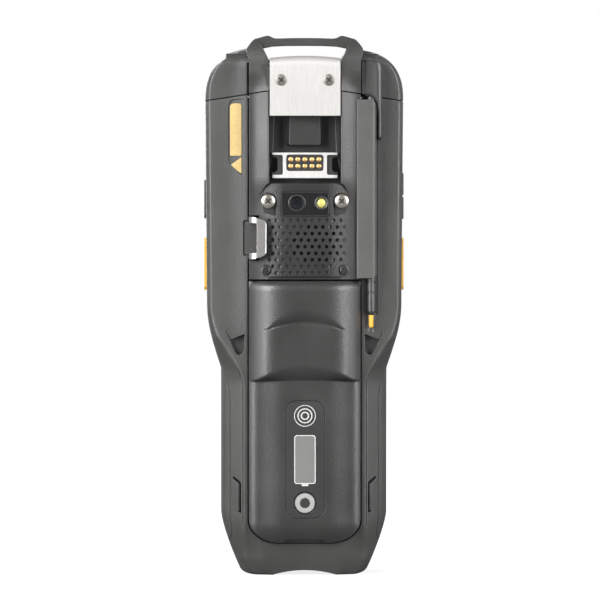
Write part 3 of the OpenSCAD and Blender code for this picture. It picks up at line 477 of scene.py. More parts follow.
def soften(points, radii, steps=5):
    """Rounds an outline's corners: radii is one reach, or one for each corner."""
    n = len(points)
    radii = [radii] * n if not isinstance(radii, (list, tuple)) else radii
    corners = [Vector(p) for p in points]
    out = []
    for i, (p, r) in enumerate(zip(corners, radii)):
        if r <= 0:
            out.append(tuple(p))
            continue
        ends = [towards(p, q, min(r, (q - p).length * 0.49)) for q in (corners[i - 1], corners[(i + 1) % n])]
        out += [tuple(q) for q in arc(ends[0], p, ends[1], steps)]
    return out


def block(lo, hi):
    return prism("z", rect(lo[0], lo[1], hi[0], hi[1]), lo[2], hi[2])


def through(*outlines):
    """A cut right through, from the back to the front."""
    return ("cut", prisms("y", outlines, -FAR, FAR))


def sunk(outline, floor):
    """A cut from the back down to a depth."""
    return ("cut", prism("y", outline, -FAR, floor))


def opened(lo, hi):
    return ("cut", block(lo, hi))


def lathe(name, x, z, profile, steps=48):
    """Turns a profile of (radius, depth) about an axis along y through x, z."""
    return loft(name, [[(a, y, b) for a, b in circle(x, z, r, steps)] for r, y in profile])


def carve(name, base, *steps):
    """Applies boolean steps to base: ("cut" | "keep" | "add", solid), and keeps the result under name."""
    kinds = {"cut": "DIFFERENCE", "keep": "INTERSECT", "add": "UNION"}
    for kind, tool in steps:
        mod = base.modifiers.new(kind, "BOOLEAN")
        mod.operation = kinds[kind]
        mod.solver = "MANIFOLD"
        mod.object = tool
    graph = bpy.context.evaluated_depsgraph_get()
    mesh = bpy.data.meshes.new_from_object(base.evaluated_get(graph))
    base.modifiers.clear()
    base.data = mesh
    for _, tool in steps:
        bpy.data.objects.remove(tool)
    base.name = mesh.name = name
    if len(mesh.polygons) < 4:
        raise RuntimeError(f"{name} came out empty")
    return base


def gridded(obj, step, axes=(0, 2)):
    """Cuts a solid's faces across the axes, so that they can be domed or bent."""
    verts = obj.data.vertices
    bm = bmesh.new()
    bm.from_mesh(obj.data)
    for axis in axes:
        low, high = (pick(v.co[axis] for v in verts) / MM for pick in (min, max))
        normal = tuple(1.0 if i == axis else 0.0 for i in range(3))
        for k in range(1, int((high - low) / step)):
            place = tuple(v * (low + k * step) * MM for v in normal)
            everything = bm.verts[:] + bm.edges[:] + bm.faces[:]
            bmesh.ops.bisect_plane(bm, geom=everything, plane_co=place, plane_no=normal)
    bm.to_mesh(obj.data)
    bm.free()
    return obj


def on_wing(obj):
    """Moves a solid's points along with the wing's surface."""
    obj = gridded(obj, 1.0, (0,))
    for v in obj.data.vertices:
        v.co.y += (wing_y(v.co.x / MM) - WING_Y) * MM
    return obj


def clean(obj, angle=0.6):
    """Joins the flat triangles that the booleans leave, so that a bevel runs evenly along real edges."""
    bm = bmesh.new()
    bm.from_mesh(obj.data)
    bmesh.ops.remove_doubles(bm, verts=bm.verts, dist=2e-6)
    bmesh.ops.dissolve_limit(bm, angle_limit=math.radians(angle), verts=bm.verts, edges=bm.edges)
    bm.to_mesh(obj.data)
    bm.free()
    return obj


def bevel(obj, width, angle=35):
    mod = obj.modifiers.new("edges", "BEVEL")
    mod.width = width * MM
    mod.segments = 2
    mod.limit_method = "ANGLE"
    mod.angle_limit = math.radians(angle)
    mod.harden_normals = True


def finish_piece(obj, body, material, nodes=(), edge=0.0, angle=32):
    """Smooths a piece, bevels it when an edge is given, gives it its material and its body, and hides the
    nodes that it stands for.
    """
    obj.data.polygons.foreach_set("use_smooth", [True] * len(obj.data.polygons))
    obj.data.set_sharp_from_angle(angle=math.radians(angle))
    if edge:
        bevel(obj, edge)
    obj.data.materials.clear()
    obj.data.materials.append(material)
    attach(obj, body)
    if nodes:
        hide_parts(*nodes)
    return obj


def sheet_piece(name, outline, y0, y1, body, material, holes=(), edge=0.0):
    """A thin flat piece with holes."""
    cuts = [("cut", prism("y", hole, y0 - 1, y1 + 1)) for hole in holes]
    obj = carve(name, prism("y", outline, y0, y1), *cuts)
    finish_piece(clean(obj), body, material, edge=edge)


def dress(name, material, edge=0.0):
    """Gives a carried-over CAD node its material and soft edges."""
    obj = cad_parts[name]
    obj.data.materials.clear()
    obj.data.materials.append(material)
    if edge:
        bevel(obj, edge)


# ------------------------------------------------------------ materials


def new_material(name):
    mat = bpy.data.materials.new(name)
    mat.use_nodes = True
    return mat, mat.node_tree, mat.node_tree.nodes["Principled BSDF"]


def feed(tree, made, inputs):
    """Sets a node's inputs, by name or place, to values or to the outputs of other nodes."""
    for key, value in inputs.items():
        if isinstance(value, bpy.types.NodeSocket):
            tree.links.new(value, made.inputs[key])
        else:
            made.inputs[key].default_value = value


def node(tree, kind, inputs=None, **settings):
    made = tree.nodes.new(kind)
    for key, value in settings.items():
        setattr(made, key, value)
    feed(tree, made, inputs or {})
    return made


def maths(tree, operation, *values):
    return node(tree, "ShaderNodeMath", dict(enumerate(values)), operation=operation).outputs[0]


def object_space(tree, scale=(1, 1, 1)):
    place = node(tree, "ShaderNodeTexCoord").outputs["Object"]
    return node(tree, "ShaderNodeMapping", {"Vector": place, "Scale": scale}).outputs["Vector"]


def noise(tree, vector, scale, detail, roughness=0.5):
    inputs = {"Vector": vector, "Scale": scale, "Detail": detail, "Roughness": roughness}
    return node(tree, "ShaderNodeTexNoise", inputs).outputs["Fac"]


def ramp(tree, factor, *stops):
    """Colour by factor, between two stops of place and colour."""
    made = node(tree, "ShaderNodeValToRGB", {"Fac": factor})
    for k, (place, colour) in enumerate(stops):
        made.color_ramp.elements[k].position = place
        made.color_ramp.elements[k].color = (*colour, 1)
    return made.outputs["Color"]


def map_range(tree, value, low, high, out_low, out_high):
    """Spreads a value's range from low to high over another range."""
    inputs = {"Value": value, "From Min": low, "From Max": high, "To Min": out_low, "To Max": out_high}
    return node(tree, "ShaderNodeMapRange", inputs).outputs["Result"]


def relief(tree, height, depth, edge):
    """Fine relief over edges that look rounded."""
    rounded = node(tree, "ShaderNodeBevel", {"Radius": edge * MM}, samples=4).outputs["Normal"]
    inputs = {"Strength": 1.0, "Distance": depth * MM, "Height": height, "Normal": rounded}
    return node(tree, "ShaderNodeBump", inputs).outputs["Normal"]


def grey(v):
    return (v, v, v)


def shade(colour, k):
    return tuple(min(1.0, c * k) for c in colour)


def moulded(name, colour, rough=0.5, grain=1400, depth=0.1, edge=0.35, mottle=0.2, specular=1.0):
    """Moulded plastic or rubber: fine spark-eroded grain, faint mottling, softened edges."""
    mat, tree, shader = new_material(name)
    space = object_space(tree)
    fine = noise(tree, space, grain, 4, 0.6)
    broad = noise(tree, space, 45, 2)
    mixed = maths(tree, "MULTIPLY_ADD", fine, 0.55, maths(tree, "MULTIPLY", broad, 0.45))
    feed(tree, shader, {
        "Base Color": ramp(tree, mixed, (0.3, shade(colour, 1 - mottle)), (0.7, shade(colour, 1 + mottle))),
        "Roughness": ramp(tree, broad, (0.3, grey(rough - 0.04)), (0.7, grey(rough + 0.05))),
        "Specular IOR Level": specular,
        "Normal": relief(tree, fine, depth, edge),
    })
    return mat


def metal(name, colour, rough=0.3, strokes=(900, 900, 30), depth=0.01, uneven=0.12):
    """Metal with fine strokes: the scale is low along the strokes."""
    mat, tree, shader = new_material(name)
    lines = noise(tree, object_space(tree, strokes), 4, 5, 0.65)
    feed(tree, shader, {
        "Base Color": ramp(tree, lines, (0.3, shade(colour, 0.86)), (0.7, shade(colour, 1.06))),
        "Metallic": 1.0,
        "Roughness": ramp(tree, lines, (0.25, grey(rough - uneven / 2)), (0.75, grey(rough + uneven / 2))),
        "Normal": relief(tree, lines, depth, 0.2),
    })
    return mat


def gloss(name, colour, rough=0.12, coat=0.6):
    """Glossy plastic or glass with faint dust and smears in its roughness."""
    mat, tree, shader = new_material(name)
    space = object_space(tree)
    smear = noise(tree, space, 120, 3)
    speck = noise(tree, space, 2600, 2)
    feed(tree, shader, {
        "Base Color": ramp(tree, speck, (0.35, shade(colour, 0.8)), (0.75, shade(colour, 1.25))),
        "Roughness": ramp(tree, smear, (0.3, grey(rough)), (0.8, grey(rough + 0.1))),
        "Coat Weight": coat,
        "Coat Roughness": 0.06,
    })
    return mat


def screen_glass(name):
    """Display glass: black round the edge, and grey where the screen lies behind it."""
    mat, tree, shader = new_material(name)
    space = object_space(tree)
    axes = node(tree, "ShaderNodeSeparateXYZ", {0: space}).outputs
    in_width = maths(tree, "COMPARE", axes["X"], 0, SCREEN_W / 2 * MM)
    in_height = maths(tree, "COMPARE", axes["Z"], SCREEN_Z * MM, SCREEN_H / 2 * MM)
    cells = noise(tree, space, 5000, 2)
    lit = ramp(tree, cells, (0.3, (0.034, 0.038, 0.04)), (0.7, (0.044, 0.048, 0.05)))
    black = (0.005, 0.005, 0.006, 1)
    mixed = {0: maths(tree, "MULTIPLY", in_width, in_height), 6: black, 7: lit}
    smear = noise(tree, space, 90, 3)
    feed(tree, shader, {
        "Base Color": node(tree, "ShaderNodeMix", mixed, data_type="RGBA").outputs[2],
        "Roughness": ramp(tree, smear, (0.3, grey(0.08)), (0.8, grey(0.16))),
    })
    return mat


def board(name):
    """Green circuit board with a faint pattern of tracks."""
    mat, tree, shader = new_material(name)
    tracks = {"Vector": object_space(tree), "Scale": 420}
    cells = node(tree, "ShaderNodeTexVoronoi", tracks, distance="CHEBYCHEV")
    tint = ramp(tree, cells.outputs["Distance"], (0.25, (0.012, 0.09, 0.035)), (0.5, (0.02, 0.16, 0.06)))
    feed(tree, shader, {"Base Color": tint, "Roughness": 0.35})
    return mat


SHELL = moulded("shell_plastic", (0.029, 0.029, 0.0272), 0.46)
CAP = moulded("cap_plastic", (0.021, 0.021, 0.0195), 0.46, specular=0.93)
BATTERY = moulded("battery_plastic", (0.019, 0.019, 0.018), 0.39)
PILLAR = moulded("pillar_plastic", (0.018, 0.018, 0.017), 0.45, specular=0.86)
COVER = moulded("cover_plastic", (0.011, 0.0112, 0.0105), 0.4, edge=0.12, specular=0.85)
DARK = moulded("dark_plastic", (0.014, 0.014, 0.014), 0.45)
PEN = moulded("stylus_plastic", (0.024, 0.024, 0.023), 0.4, depth=0.03)
SLEEVE = moulded("sleeve_plastic", (0.05, 0.05, 0.0475), 0.55, mottle=0.25)
POCKET = moulded("strap_pocket", (0.045, 0.045, 0.0435), 0.5)
LATCH = moulded("latch_plastic", (0.03, 0.03, 0.0285), 0.42)
RUBBER = moulded("grey_rubber", (0.05, 0.05, 0.0485), 0.5)
KEYTOP = moulded("key_rubber", (0.06, 0.06, 0.058), 0.5)
YELLOW = moulded("scan_yellow", (0.85, 0.48, 0.07), 0.45, mottle=0.05, specular=0.5)
AMBER = moulded("amber_label", (0.58, 0.43, 0.18), 0.5, grain=1500, depth=0.01, mottle=0.25, specular=0.3)
RED = moulded("red_key", (0.5, 0.04, 0.03), 0.45, specular=0.5)
SEAL = moulded("seal_rubber", (0.03, 0.03, 0.031), 0.7, specular=0.5)
LABEL = moulded("battery_label", (0.018, 0.018, 0.0176), 0.42, depth=0.012, mottle=0.05)
PRINT = moulded("label_print", (0.6, 0.6, 0.585), 0.5, depth=0.008, mottle=0.05, specular=0.5)
RING_GREY = moulded("button_print", (0.34, 0.34, 0.33), 0.5, depth=0.008, mottle=0.08, specular=0.5)
GAUGE = moulded("gauge_lens", (0.18, 0.18, 0.176), 0.42, depth=0.008, mottle=0.08, specular=0.5)
# Near-black material for the cross recesses' floors: painted shade, not the screws' own colour
RECESS_SHADE = moulded("painted_recess_shade", (0.01, 0.01, 0.01), 0.6)
STEEL = metal("brushed_steel", (0.68, 0.668, 0.65), 0.6, (1500, 1500, 40), 0.004, 0.06)
BRACKET = metal("bracket_steel", (0.8, 0.79, 0.77), 0.58, (900, 900, 60), 0.005, 0.06)
ZINC = metal("cast_zinc", (0.74, 0.73, 0.715), 0.36, (500, 500, 500), 0.02)
SCREW = metal("screw_steel", (0.56, 0.53, 0.47), 0.34, (500, 500, 500), 0.02)
DULL_SCREW = metal("dull_screw", (0.3, 0.285, 0.26), 0.5, (500, 500, 500), 0.03)
BLACK_SCREW = metal("black_screw", (0.09, 0.09, 0.087), 0.45, (500, 500, 500), 0.02)
GOLD = metal("gold_contact", (0.92, 0.56, 0.22), 0.45, (700, 700, 700), 0.02)
TIN = metal("tinned_sheet", (0.6, 0.6, 0.62), 0.35)
SMOKED = gloss("black_window", (0.012, 0.012, 0.013), 0.2)
RIM = gloss("window_rim", (0.03, 0.03, 0.03), 0.25, 0.2)
SCREEN = gloss("display_screen", (0.04, 0.045, 0.048), 0.3)
RED_GLASS = gloss("scan_glass", (0.2, 0.008, 0.01), 0.38, 0.0)
WRAP = gloss("cell_wrap", (0.03, 0.036, 0.045), 0.42)
LENS_RING = gloss("lens_ring", (0.03, 0.03, 0.03), 0.25, 0.2)
LENS_GLASS = gloss("lens_glass", (0.006, 0.007, 0.009), 0.18, 0.3)
FLASH_RIM = gloss("flash_rim", (0.045, 0.045, 0.04), 0.2, 0.4)
FLASH_DOME = gloss("flash_dome", (0.62, 0.56, 0.16), 0.2, 0.4)
GLASS = screen_glass("display_glass")
BOARD = board("circuit_board")

# ------------------------------------------------------------ regions shared by the pieces


def rear_region(d=0.0):
    """The rear shell's share of the housing: its edge runs down the side, and steps back at the grip."""
    y0, y1 = PART_LOW_Y + d, PART_HIGH_Y + d
    outline = [
        (-FAR, -FAR), (FAR, -FAR), (FAR, BOOT_Z + d), (PART_LOW_Y + 8, BOOT_Z + d), (y0 + 2, BOOT_Z + 2.5),
        (y0, BOOT_Z + 7), (y0, FLARE_START - 4), (y0 + 1.5, FLARE_START + 2), (y0 + 4, FLARE_START + 5.5),
        (y1 - 4, FLARE_Z + 7), (y1, FLARE_Z + 11), (y1, FAR), (-FAR, FAR),
    ]
    reach = [0, 0, 0, 2, 3, 4, 5, 3, 3, 4, 4, 0, 0]
    return prism("x", soften(outline, reach), -FAR, FAR)


def cap_region(d=0.0):
    """The top cap's share: everything above an arched seam."""
    x, low = SIDE_X + 2, SEAM_Z - SEAM_FALL + d
    outline = [
        (-x, low), (-SPINE_X, SEAM_Z - 1.3 + d), (-RECESS_X, SEAM_Z + d), (RECESS_X, SEAM_Z + d),
        (SPINE_X, SEAM_Z - 1.3 + d), (x, low), (x, FAR), (-x, FAR),
    ]
    return prism("y", soften(outline, [0, 3, 3, 3, 3, 0, 0, 0]), -FAR, FAR)


def battery_plan(d=0.0):
    """Outline of the battery seen from the back, inset by d."""
    x, z0, z1, rx, rz = BATTERY_X - d, BATTERY_Z + d, BATTERY_TOP - d, BATTERY_R + 2.5, BATTERY_R - 0.6
    turns = [math.pi / 2 * k / 14 for k in range(15)]
    out = [(x, z1), (-x, z1)]
    out += [(-x + rx - rx * math.cos(a), z0 + rz - rz * math.sin(a)) for a in turns]
    out += [(x - rx + rx * math.sin(a), z0 + rz - rz * math.cos(a)) for a in turns]
    return out


def pillar_y(x, z):
    """Depth of the spine's rounded back: beside the recess it stands higher than beside the cover."""
    beside_cover = PANEL_Y + COVER_FALL * ease(*COVER_BEND, abs(x))
    beside_recess = RIDGE_Y - 0.4 + 3.1 * ease(12.5, 23.5, abs(x))
    return beside_cover + (beside_recess - beside_cover) * ease(COVER_TOP - 9, COVER_TOP + 3, z)


def stylus_bore(z0):
    return prism("z", circle(STYLUS_X, STYLUS_Y, STYLUS_D / 2 + GAP), z0, FAR)


# ------------------------------------------------------------ rear housing and latch buttons

LATCH_SLOPE = math.atan2(side_back_at(60) - GRIP_Y, GRIP_X - GRIP_CREASE_X)
LATCH_Y = GRIP_Y + (LATCH_X - GRIP_CREASE_X) * math.tan(LATCH_SLOPE)


def latch_place(tool, side):
    """Moves a solid made about the origin onto the grip's bevel."""
    c, s = math.cos(LATCH_SLOPE), math.sin(LATCH_SLOPE)
    for v in tool.data.vertices:
        x, y, z = v.co
        v.co = (side * (LATCH_X * MM + c * x - s * y), LATCH_Y * MM + s * x + c * y, LATCH_Z * MM + z)
    if side < 0:
        tool.data.flip_normals()
    return tool


def latch_pocket(side):
    outline = soften([(-2.75, -8.1), (2.45, -5.9), (2.45, 8.1), (-2.75, 5.5)], 0.9)
    return latch_place(prism("y", outline, -3, 5), side)


def side_key_tool(key):
    side, low, height = SIDE_KEYS[key]
    outline = pad(SIDE_KEY_Y, low + height / 2, SIDE_KEY_W + 2 * GAP, height + 2 * GAP, 1.5 + GAP)
    return prism("x", outline, *sorted((side * 36, side * FAR)))


def finger_pocket(side, d=0.0):
    """A pocket for a finger, deepest at its outer side."""
    points = [
        (26.1 - d, 105 + d), (32.5 + d, 102.4 + d), (30.3 + d, 97 - d), (28.4, 95.6 - d), (26.1 - d, 97),
    ]
    outline = soften(flipped(points, side), [0.5, 0.5, 2.2, 1.5, 1.5])
    return prism("y", outline, WING_Y - 5 + 6 * d, WING_Y + 3 + 1.2 * d)


def pocket_line(side):
    """The fine line from the finger pocket up its outer side."""
    points = [(32.1, 102.6), (32.4, 102.3), (34.0, 106.4), (33.85, 106.5)]
    return prism("y", flipped(points, side), WING_Y - 5, WING_Y + 1.9)


def crease_groove(side):
    """A fine groove where the grip's bevel meets its back, fading out on the flare."""
    rings = []
    for k in range(60):
        z = 19 + 1.5 * k
        x, y = back_corners(z)[2]
        depth = 0.75 * ease(18, 24, z) * (1 - ease(98, 107, z)) - 0.15
        corners = [(x - 0.34, y - 0.5), (x + 0.34, y - 0.5), (x + 0.1, y + depth), (x - 0.1, y + depth)]
        rings.append([(a, b, z) for a, b in flipped(corners, side)])
    return loft("groove", rings)


def label_pocket():
    """A long pocket that narrows to a point beside the pointer at its lower end."""
    x0, x1 = LABEL_X - 3.3, LABEL_X + 3.3
    z0, z1 = LABEL_Z - LABEL_H / 2, LABEL_Z + LABEL_H / 2
    outline = [(x0, z1), (x0, z0 + 5.6), (x1 - 0.6, z0), (x1, z0 + 0.6), (x1, z1)]
    return soften(outline, [4.4, 1.2, 0.8, 0.4, 0.8])


def make_rear():
    """The rear shell: wings, grip and boot, hollowed, with a walled pocket for the battery."""
    pocket_x = SPINE_X + POCKET_GAP
    pocket_walls = prism("y", battery_plan(-POCKET_GAP - POCKET_WALL), PART_LOW_Y - 7, POCKET_Y + 1.6)
    strap_pocket = rect(STRAP_X - 5.6, STRAP_Z + 0.5, STRAP_X + 3, STRAP_Z + STRAP_H - 0.5)
    clip_groove = pad(STYLUS_X + 2.3, (SLEEVE_Z0 + CAP_Z) / 2 - 4, 1.3, CAP_Z - SLEEVE_Z0 + 24, 0.6)
    steps = [
        ("cut", form(WALL)),
        ("keep", rear_region()),
        ("add", carve("walls", pocket_walls, ("keep", form(WALL / 2)))),
        ("cut", cap_region(-SEAM_GAP)),
        sunk(battery_plan(-POCKET_GAP), POCKET_Y),
        opened((-pocket_x, -FAR, BATTERY_TOP - 3), (pocket_x, FRAME_BACK_Y + 0.2, FAR)),
        ("cut", stylus_bore(STYLUS_Z - 1.8)),
        ("cut", on_wing(prism("y", label_pocket(), WING_Y - 5, WING_Y + 0.45))),
        sunk(soften(strap_pocket, 0.6), WING_Y + 1.2),
        through(circle(0, FOOT_ARCH_H - FOOT_ARCH_R, FOOT_ARCH_R, 240)),
        sunk(clip_groove, WING_Y + 1.4),
    ]
    steps += [("cut", side_key_tool(key)) for key in SIDE_KEYS]
    for side in (-1, 1):
        steps.append(("add", finger_pocket(side, 1.0)))
        steps += [("cut", make(side)) for make in (finger_pocket, pocket_line, latch_pocket, crease_groove)]
    return carve("rear_shell", form(), *steps)


def make_latch(side, name):
    """A release button on the grip's bevel, with slanted ends."""
    outline = soften([(-2.1, -7.3), (2.1, -5.4), (2.1, 7.3), (-2.1, 4.9)], 0.8)
    tool = latch_place(prism("y", outline, -1.25, 3.6), side)
    finish_piece(clean(tool), f"latch_{name}", LATCH, [f"latch_button_{name}"], edge=0.6)


finish_piece(make_rear(), "housing", SHELL, ["rear_housing"])
make_latch(-1, "left")
make_latch(1, "right")

# ------------------------------------------------------------ front housing


def make_front():
    """The front shell, with openings for the display and the keys."""
    glass_h = GLASS_Z1 - GLASS_Z0
    glass = pad(0, GLASS_Z0 + glass_h / 2, GLASS_W - 5, glass_h - 5, 3)
    keys = [circle(0, ENTER_Z, ENTER_R + GAP), circle(POWER_X, ENTER_Z, POWER_R + GAP)]
    for row in range(KEY_ROWS):
        for column in range(KEY_COLUMNS):
            x, z = (column - 1) * KEY_STEP_X, LOWEST_KEY_Z + row * KEY_STEP_Z
            keys.append(pad(x, z, KEY_W + 2 * GAP, KEY_H + 2 * GAP, 2.5))
    steps = [
        ("cut", form(WALL)),
        ("cut", rear_region(SEAM_GAP)),
        ("cut", cap_region(-SEAM_GAP)),
        ("cut", prism("y", glass, GLASS_Y - 1, FAR)),
    ]
    steps += [("cut", prism("y", key, 5, FAR)) for key in keys]
    return carve("front_shell", form(), *steps)


finish_piece(make_front(), "housing", SHELL, ["front_housing"])

# ------------------------------------------------------------ top cap and bumper loop


def lean(obj, start=223.0, reach=5.2):
    """Leans everything above start forward, more and more with height."""
    for v in obj.data.vertices:
        up = max(0.0, v.co.z / MM - start) / (BODY_H - start)
        v.co.y += reach * up**1.6 * MM
    return obj


def arm(side):
    """One arm of the bumper loop: it carries the spine's rounded back on, and leans forward at the top."""
    points = [
        (-24.1, CAP_START), (-24.1, 222.2), (-24.6, 224.8), (-25.2, 227.4), (-25.0, 228.6), (-23.6, 230.6),
        (-22.4, 232.0), (-21.2, 232.8), (-20.3, 232.6), (-19.3, 230.8), (-18.1, 228.6), (-16.9, 226),
        (-15.7, 223.6), (-15.6, CAP_START),
    ]
    ribbon = gridded(prism("y", flipped(points, -side), RIDGE_Y + 0.3, -12.4), 0.9)
    for v in ribbon.data.vertices:
        x, y, z = (c / MM for c in v.co)
        if y < RIDGE_Y + 1:
            face = y + 0.11 * max(0.0, abs(x) - 17)
            v.co.y = (face + (pillar_y(x, z) - face) * (1 - ease(SEAM_Z, SEAM_Z + 9, z))) * MM
    return carve("arm", lean(ribbon), ("keep", cap_region()))


def crossbar():
    """The bumper loop's bar, raised where it leaves the arms."""
    upper = [
        (23.4, 229.6), (22.4, 231.6), (21.0, 232.7), (17.6, 233.7), (16.2, 234.0), (15.2, 233.8),
        (13.4, 232.9), (12.0, 232.75), (6, 232.95), (0, 233.0),
    ]
    lower = [(0, 229.75), (8, 229.7), (14, 229.4), (18, 228.6), (21, 227), (23.4, 226.4)]
    outline = upper + flipped(upper[-2::-1], -1) + flipped(lower[:0:-1], -1) + lower
    return prism("y", outline, -18.0, -13.4)


def slot_outline(d=0.0):
    """The slot behind the bumper loop widens upward along the arms."""
    right = [(SLOT_X + d, SLOT_FLOOR_Z - d), (19.2 + d, 229.5), (24 + d, LOOP_TOP)]
    return flipped(right[:1], -1) + right + flipped(right[:0:-1], -1)


def shoulder_facet(side, x0, x1):
    """A flat on the cap's shoulder, highest at its middle."""
    rings = []
    for y, rise in ((-13.5, 0.0), (0, 1.0), (13, 0.0)):
        ring = [(x1, 220), (x1, 226.3), (x0, 226.7 + 2.8 * rise), (x0, 220)]
        rings.append([(a, y, b) for a, b in flipped(ring, side)])
    return loft("facet", rings)


def make_cap():
    """The top cap, hollowed, with the plate's seat, the loop, the scan window and the earpiece slots."""
    lip = carve("lip", form(WALL / 2), ("keep", prism("y", slot_outline(WALL), -FAR, FAR)))
    seat = block((-RECESS_X - 1, PLATE_SEAT_Y, CAP_START), (RECESS_X + 1, -12.4, SLOT_FLOOR_Z - 1))
    rail = block((SPINE_X - 1, -18.8, CAP_START), (STYLUS_X - 2.95, WING_Y + 1, 222.6))
    steps = [
        ("cut", form(WALL)),
        ("keep", cap_region()),
        ("add", shoulder_facet(-1, 24.5, 34.0)),
        ("add", shoulder_facet(1, 23.5, 32.0)),
        ("add", lip),
        ("add", carve("seat", seat, ("keep", cap_region()))),
        through(slot_outline()),
        ("add", arm(-1)),
        ("add", arm(1)),
        ("add", crossbar()),
        opened((-RECESS_X, -FAR, SEAM_Z - 5), (RECESS_X, PLATE_SEAT_Y, PLATE_TOP + 0.2)),
        opened((-RECESS_X, -FAR, PLATE_TOP - 5.4), (RECESS_X, PLATE_SEAT_Y + 2.8, PLATE_TOP + 0.2)),
        ("cut", stylus_bore(BORE_START)),
        ("add", carve("rail", rail, ("keep", cap_region()))),
        ("cut", prism("z", pad(0, 4, 28, 13, 2), CAP_START, FAR)),
        opened((-SPINE_X - 0.75, -FAR, CAP_START), (-SPINE_X + 0.1, WING_Y + 1.5, 222.4)),
        opened((SPINE_X - 0.1, -FAR, CAP_START), (SPINE_X + 0.3, WING_Y + 1.5, 224)),
        sunk(pad(-17.6, PLATE_TOP - 9, 3.4, 9.4, 0.9), RIDGE_Y + 0.5),
    ]
    steps += [("cut", prism("y", pad(i * 3, SEAM_Z + 4, 1.8, 1.2, 0.55), 18, FAR)) for i in range(-2, 3)]
    return carve("top_shell", form(), *steps)


finish_piece(make_cap(), "housing", CAP, ["top_cap"])

# ------------------------------------------------------------ centre frame


def spine_ring(z):
    """Cross-section of the spine, with a square step down to the wing."""
    xs = [RECESS_X + 0.5 + (SPINE_X - 0.7 - RECESS_X) * k / 12 for k in range(13)]
    half = [(RECESS_X, PANEL_Y + 1.5), (RECESS_X, pillar_y(RECESS_X, z) + 0.5)]
    half += [(x, pillar_y(x, z)) for x in xs]
    half += [(SPINE_X - 0.1, pillar_y(SPINE_X, z) + 0.45), (SPINE_X - 0.1, FRAME_BACK_Y)]
    return [(x, y, z) for x, y in half + flipped(half[::-1], -1)]


def cover_outline(d=0.0):
    x, z0, z1 = COVER_X + d, COVER_Z - d, COVER_TOP + d
    left = [(-x + 3.8, z1), (-x, z1 - 5.6), (-x, z0 + 1)]
    points = [(-x + 1, z0), (x - 1, z0)] + flipped(left[::-1], -1) + left
    return soften(points, [0.6, 0.6, 0.6, 1.6, 1.6, 1.6, 1.6, 0.6])


def make_centre():
    """The spine, with the dock's recess and openings for the cover, strap, camera, flash and speaker."""
    heights = [BATTERY_TOP + 0.7] + [COVER_TOP - 9 + k for k in range(13)] + [SPINE_END]
    seat = PANEL_Y + COVER_T
    steps = [
        ("cut", cap_region(-SEAM_GAP)),
        sunk(cover_outline(0.15), seat),
        opened((2 - SPINE_X, seat + 2, COVER_Z + 1), (SPINE_X - 2, FAR, COVER_TOP - 2)),
        sunk(rect(-RECESS_X, RECESS_Z, RECESS_X, SEAM_Z + 1), RECESS_FLOOR_Y),
        opened((STRAP_X - 9, -FAR, STRAP_Z + 0.5), (STRAP_X + 3, WING_Y + 1.2, STRAP_Z + STRAP_H - 0.5)),
        ("cut", stylus_bore(BORE_START)),
    ]
    for z in (STRAP_Z, STRAP_Z + STRAP_H):
        steps.append(opened((STRAP_X - 9, -FAR, z - 1.6), (STRAP_X + 3.4, WING_Y + 0.6, z + 1.6)))
    steps += [through(circle(*place, r)) for place, r in ((SPEAKER, 9.3), (LENS, 4.1), (FLASH, 3.3))]
    return carve("centre_spine", loft("spine", [spine_ring(z) for z in heights]), *steps)


def make_dock_floor():
    """The raised block in the recess, with a foot and two side ledges."""
    back, floor = BRACKET_Y + 1.4, RECESS_FLOOR_Y + 0.8
    z0, z1 = BRACKET_Z1 + 3.2, SEAM_Z - 5
    raised = prism("y", soften([(-6.9, z0), (6.9, z0), (6.6, z1), (-6.6, z1)], 0.5), back, floor)
    foot = prism("y", pad(0, z0 + 0.4, 15.4, 1.4, 0.4), back + 1.2, floor)
    ledge = [(15.4, BRACKET_Z1 - 9), (13.6, BRACKET_Z1 + 1), (12.6, z1), (15.4, z1)]
    ledges = [("add", prism("y", flipped(ledge, side), BRACKET_Y + 3.1, floor)) for side in (-1, 1)]
    return carve("dock_floor", raised, ("add", foot), *ledges)


finish_piece(make_centre(), "housing", PILLAR, ["centre_frame"])
finish_piece(clean(make_dock_floor()), "housing", PILLAR, edge=0.35)

# ------------------------------------------------------------ battery


def blend(a, b, width):
    """The smaller of two heights, rounded where they meet."""
    near = max(0.0, width - abs(a - b)) / width
    return min(a, b) - width * near * near / 4


def roll(rise, reach, across):
    """Share of a fold's height at a rise above its line. The fold's reach is greatest at its middle."""
    share = min(1.0, rise / (reach * max(0.1, 1 - across**2)))
    return 1 - (1 - share) ** 1.8


def sag(z):
    """How far the folds across the battery drop at their ends, at height z."""
    return 3.2 * ease(96, 107, z) * (1 - ease(111, 121, z)) + 0.4 * ease(76, 84, z) * (1 - ease(86, 95, z))


def battery_height(x, z):
    """Height of the battery's back over its edge: a hump, a fold, a bump, a second fold and a flat."""
    across = abs(x)
    crown = HUMP_HEIGHT * (1 - (across / (BATTERY_X + 0.5)) ** 4)
    crown -= 2.2 * max(0.0, 1 - (BATTERY_TOP - z) / 3.5) ** 2
    bump = crown - (HUMP_HEIGHT - BUMP_HEIGHT) * max(0.0, 1 - (across / 17.5) ** 2) ** 1.2
    low = blend(LOW_HEIGHT - 1.7 * ease(9, 22, across), crown, 2.4)
    low -= 3 * max(0.0, 1 - (z - BATTERY_Z) / 9) ** 2
    lip = LIP * max(0.0, 1 - (across / VALLEY_X) ** 2)
    if z > VALLEY_Z:
        return bump - lip + (crown - bump + lip) * roll(z - VALLEY_Z, VALLEY_REACH, across / VALLEY_X)
    if z > VALLEY_Z - LIP_H:
        return bump - lip * (z - VALLEY_Z + LIP_H) / LIP_H
    if z > STEP_Z:
        return low + (bump - low) * roll(z - STEP_Z, STEP_REACH, across / STEP_X)
    return low


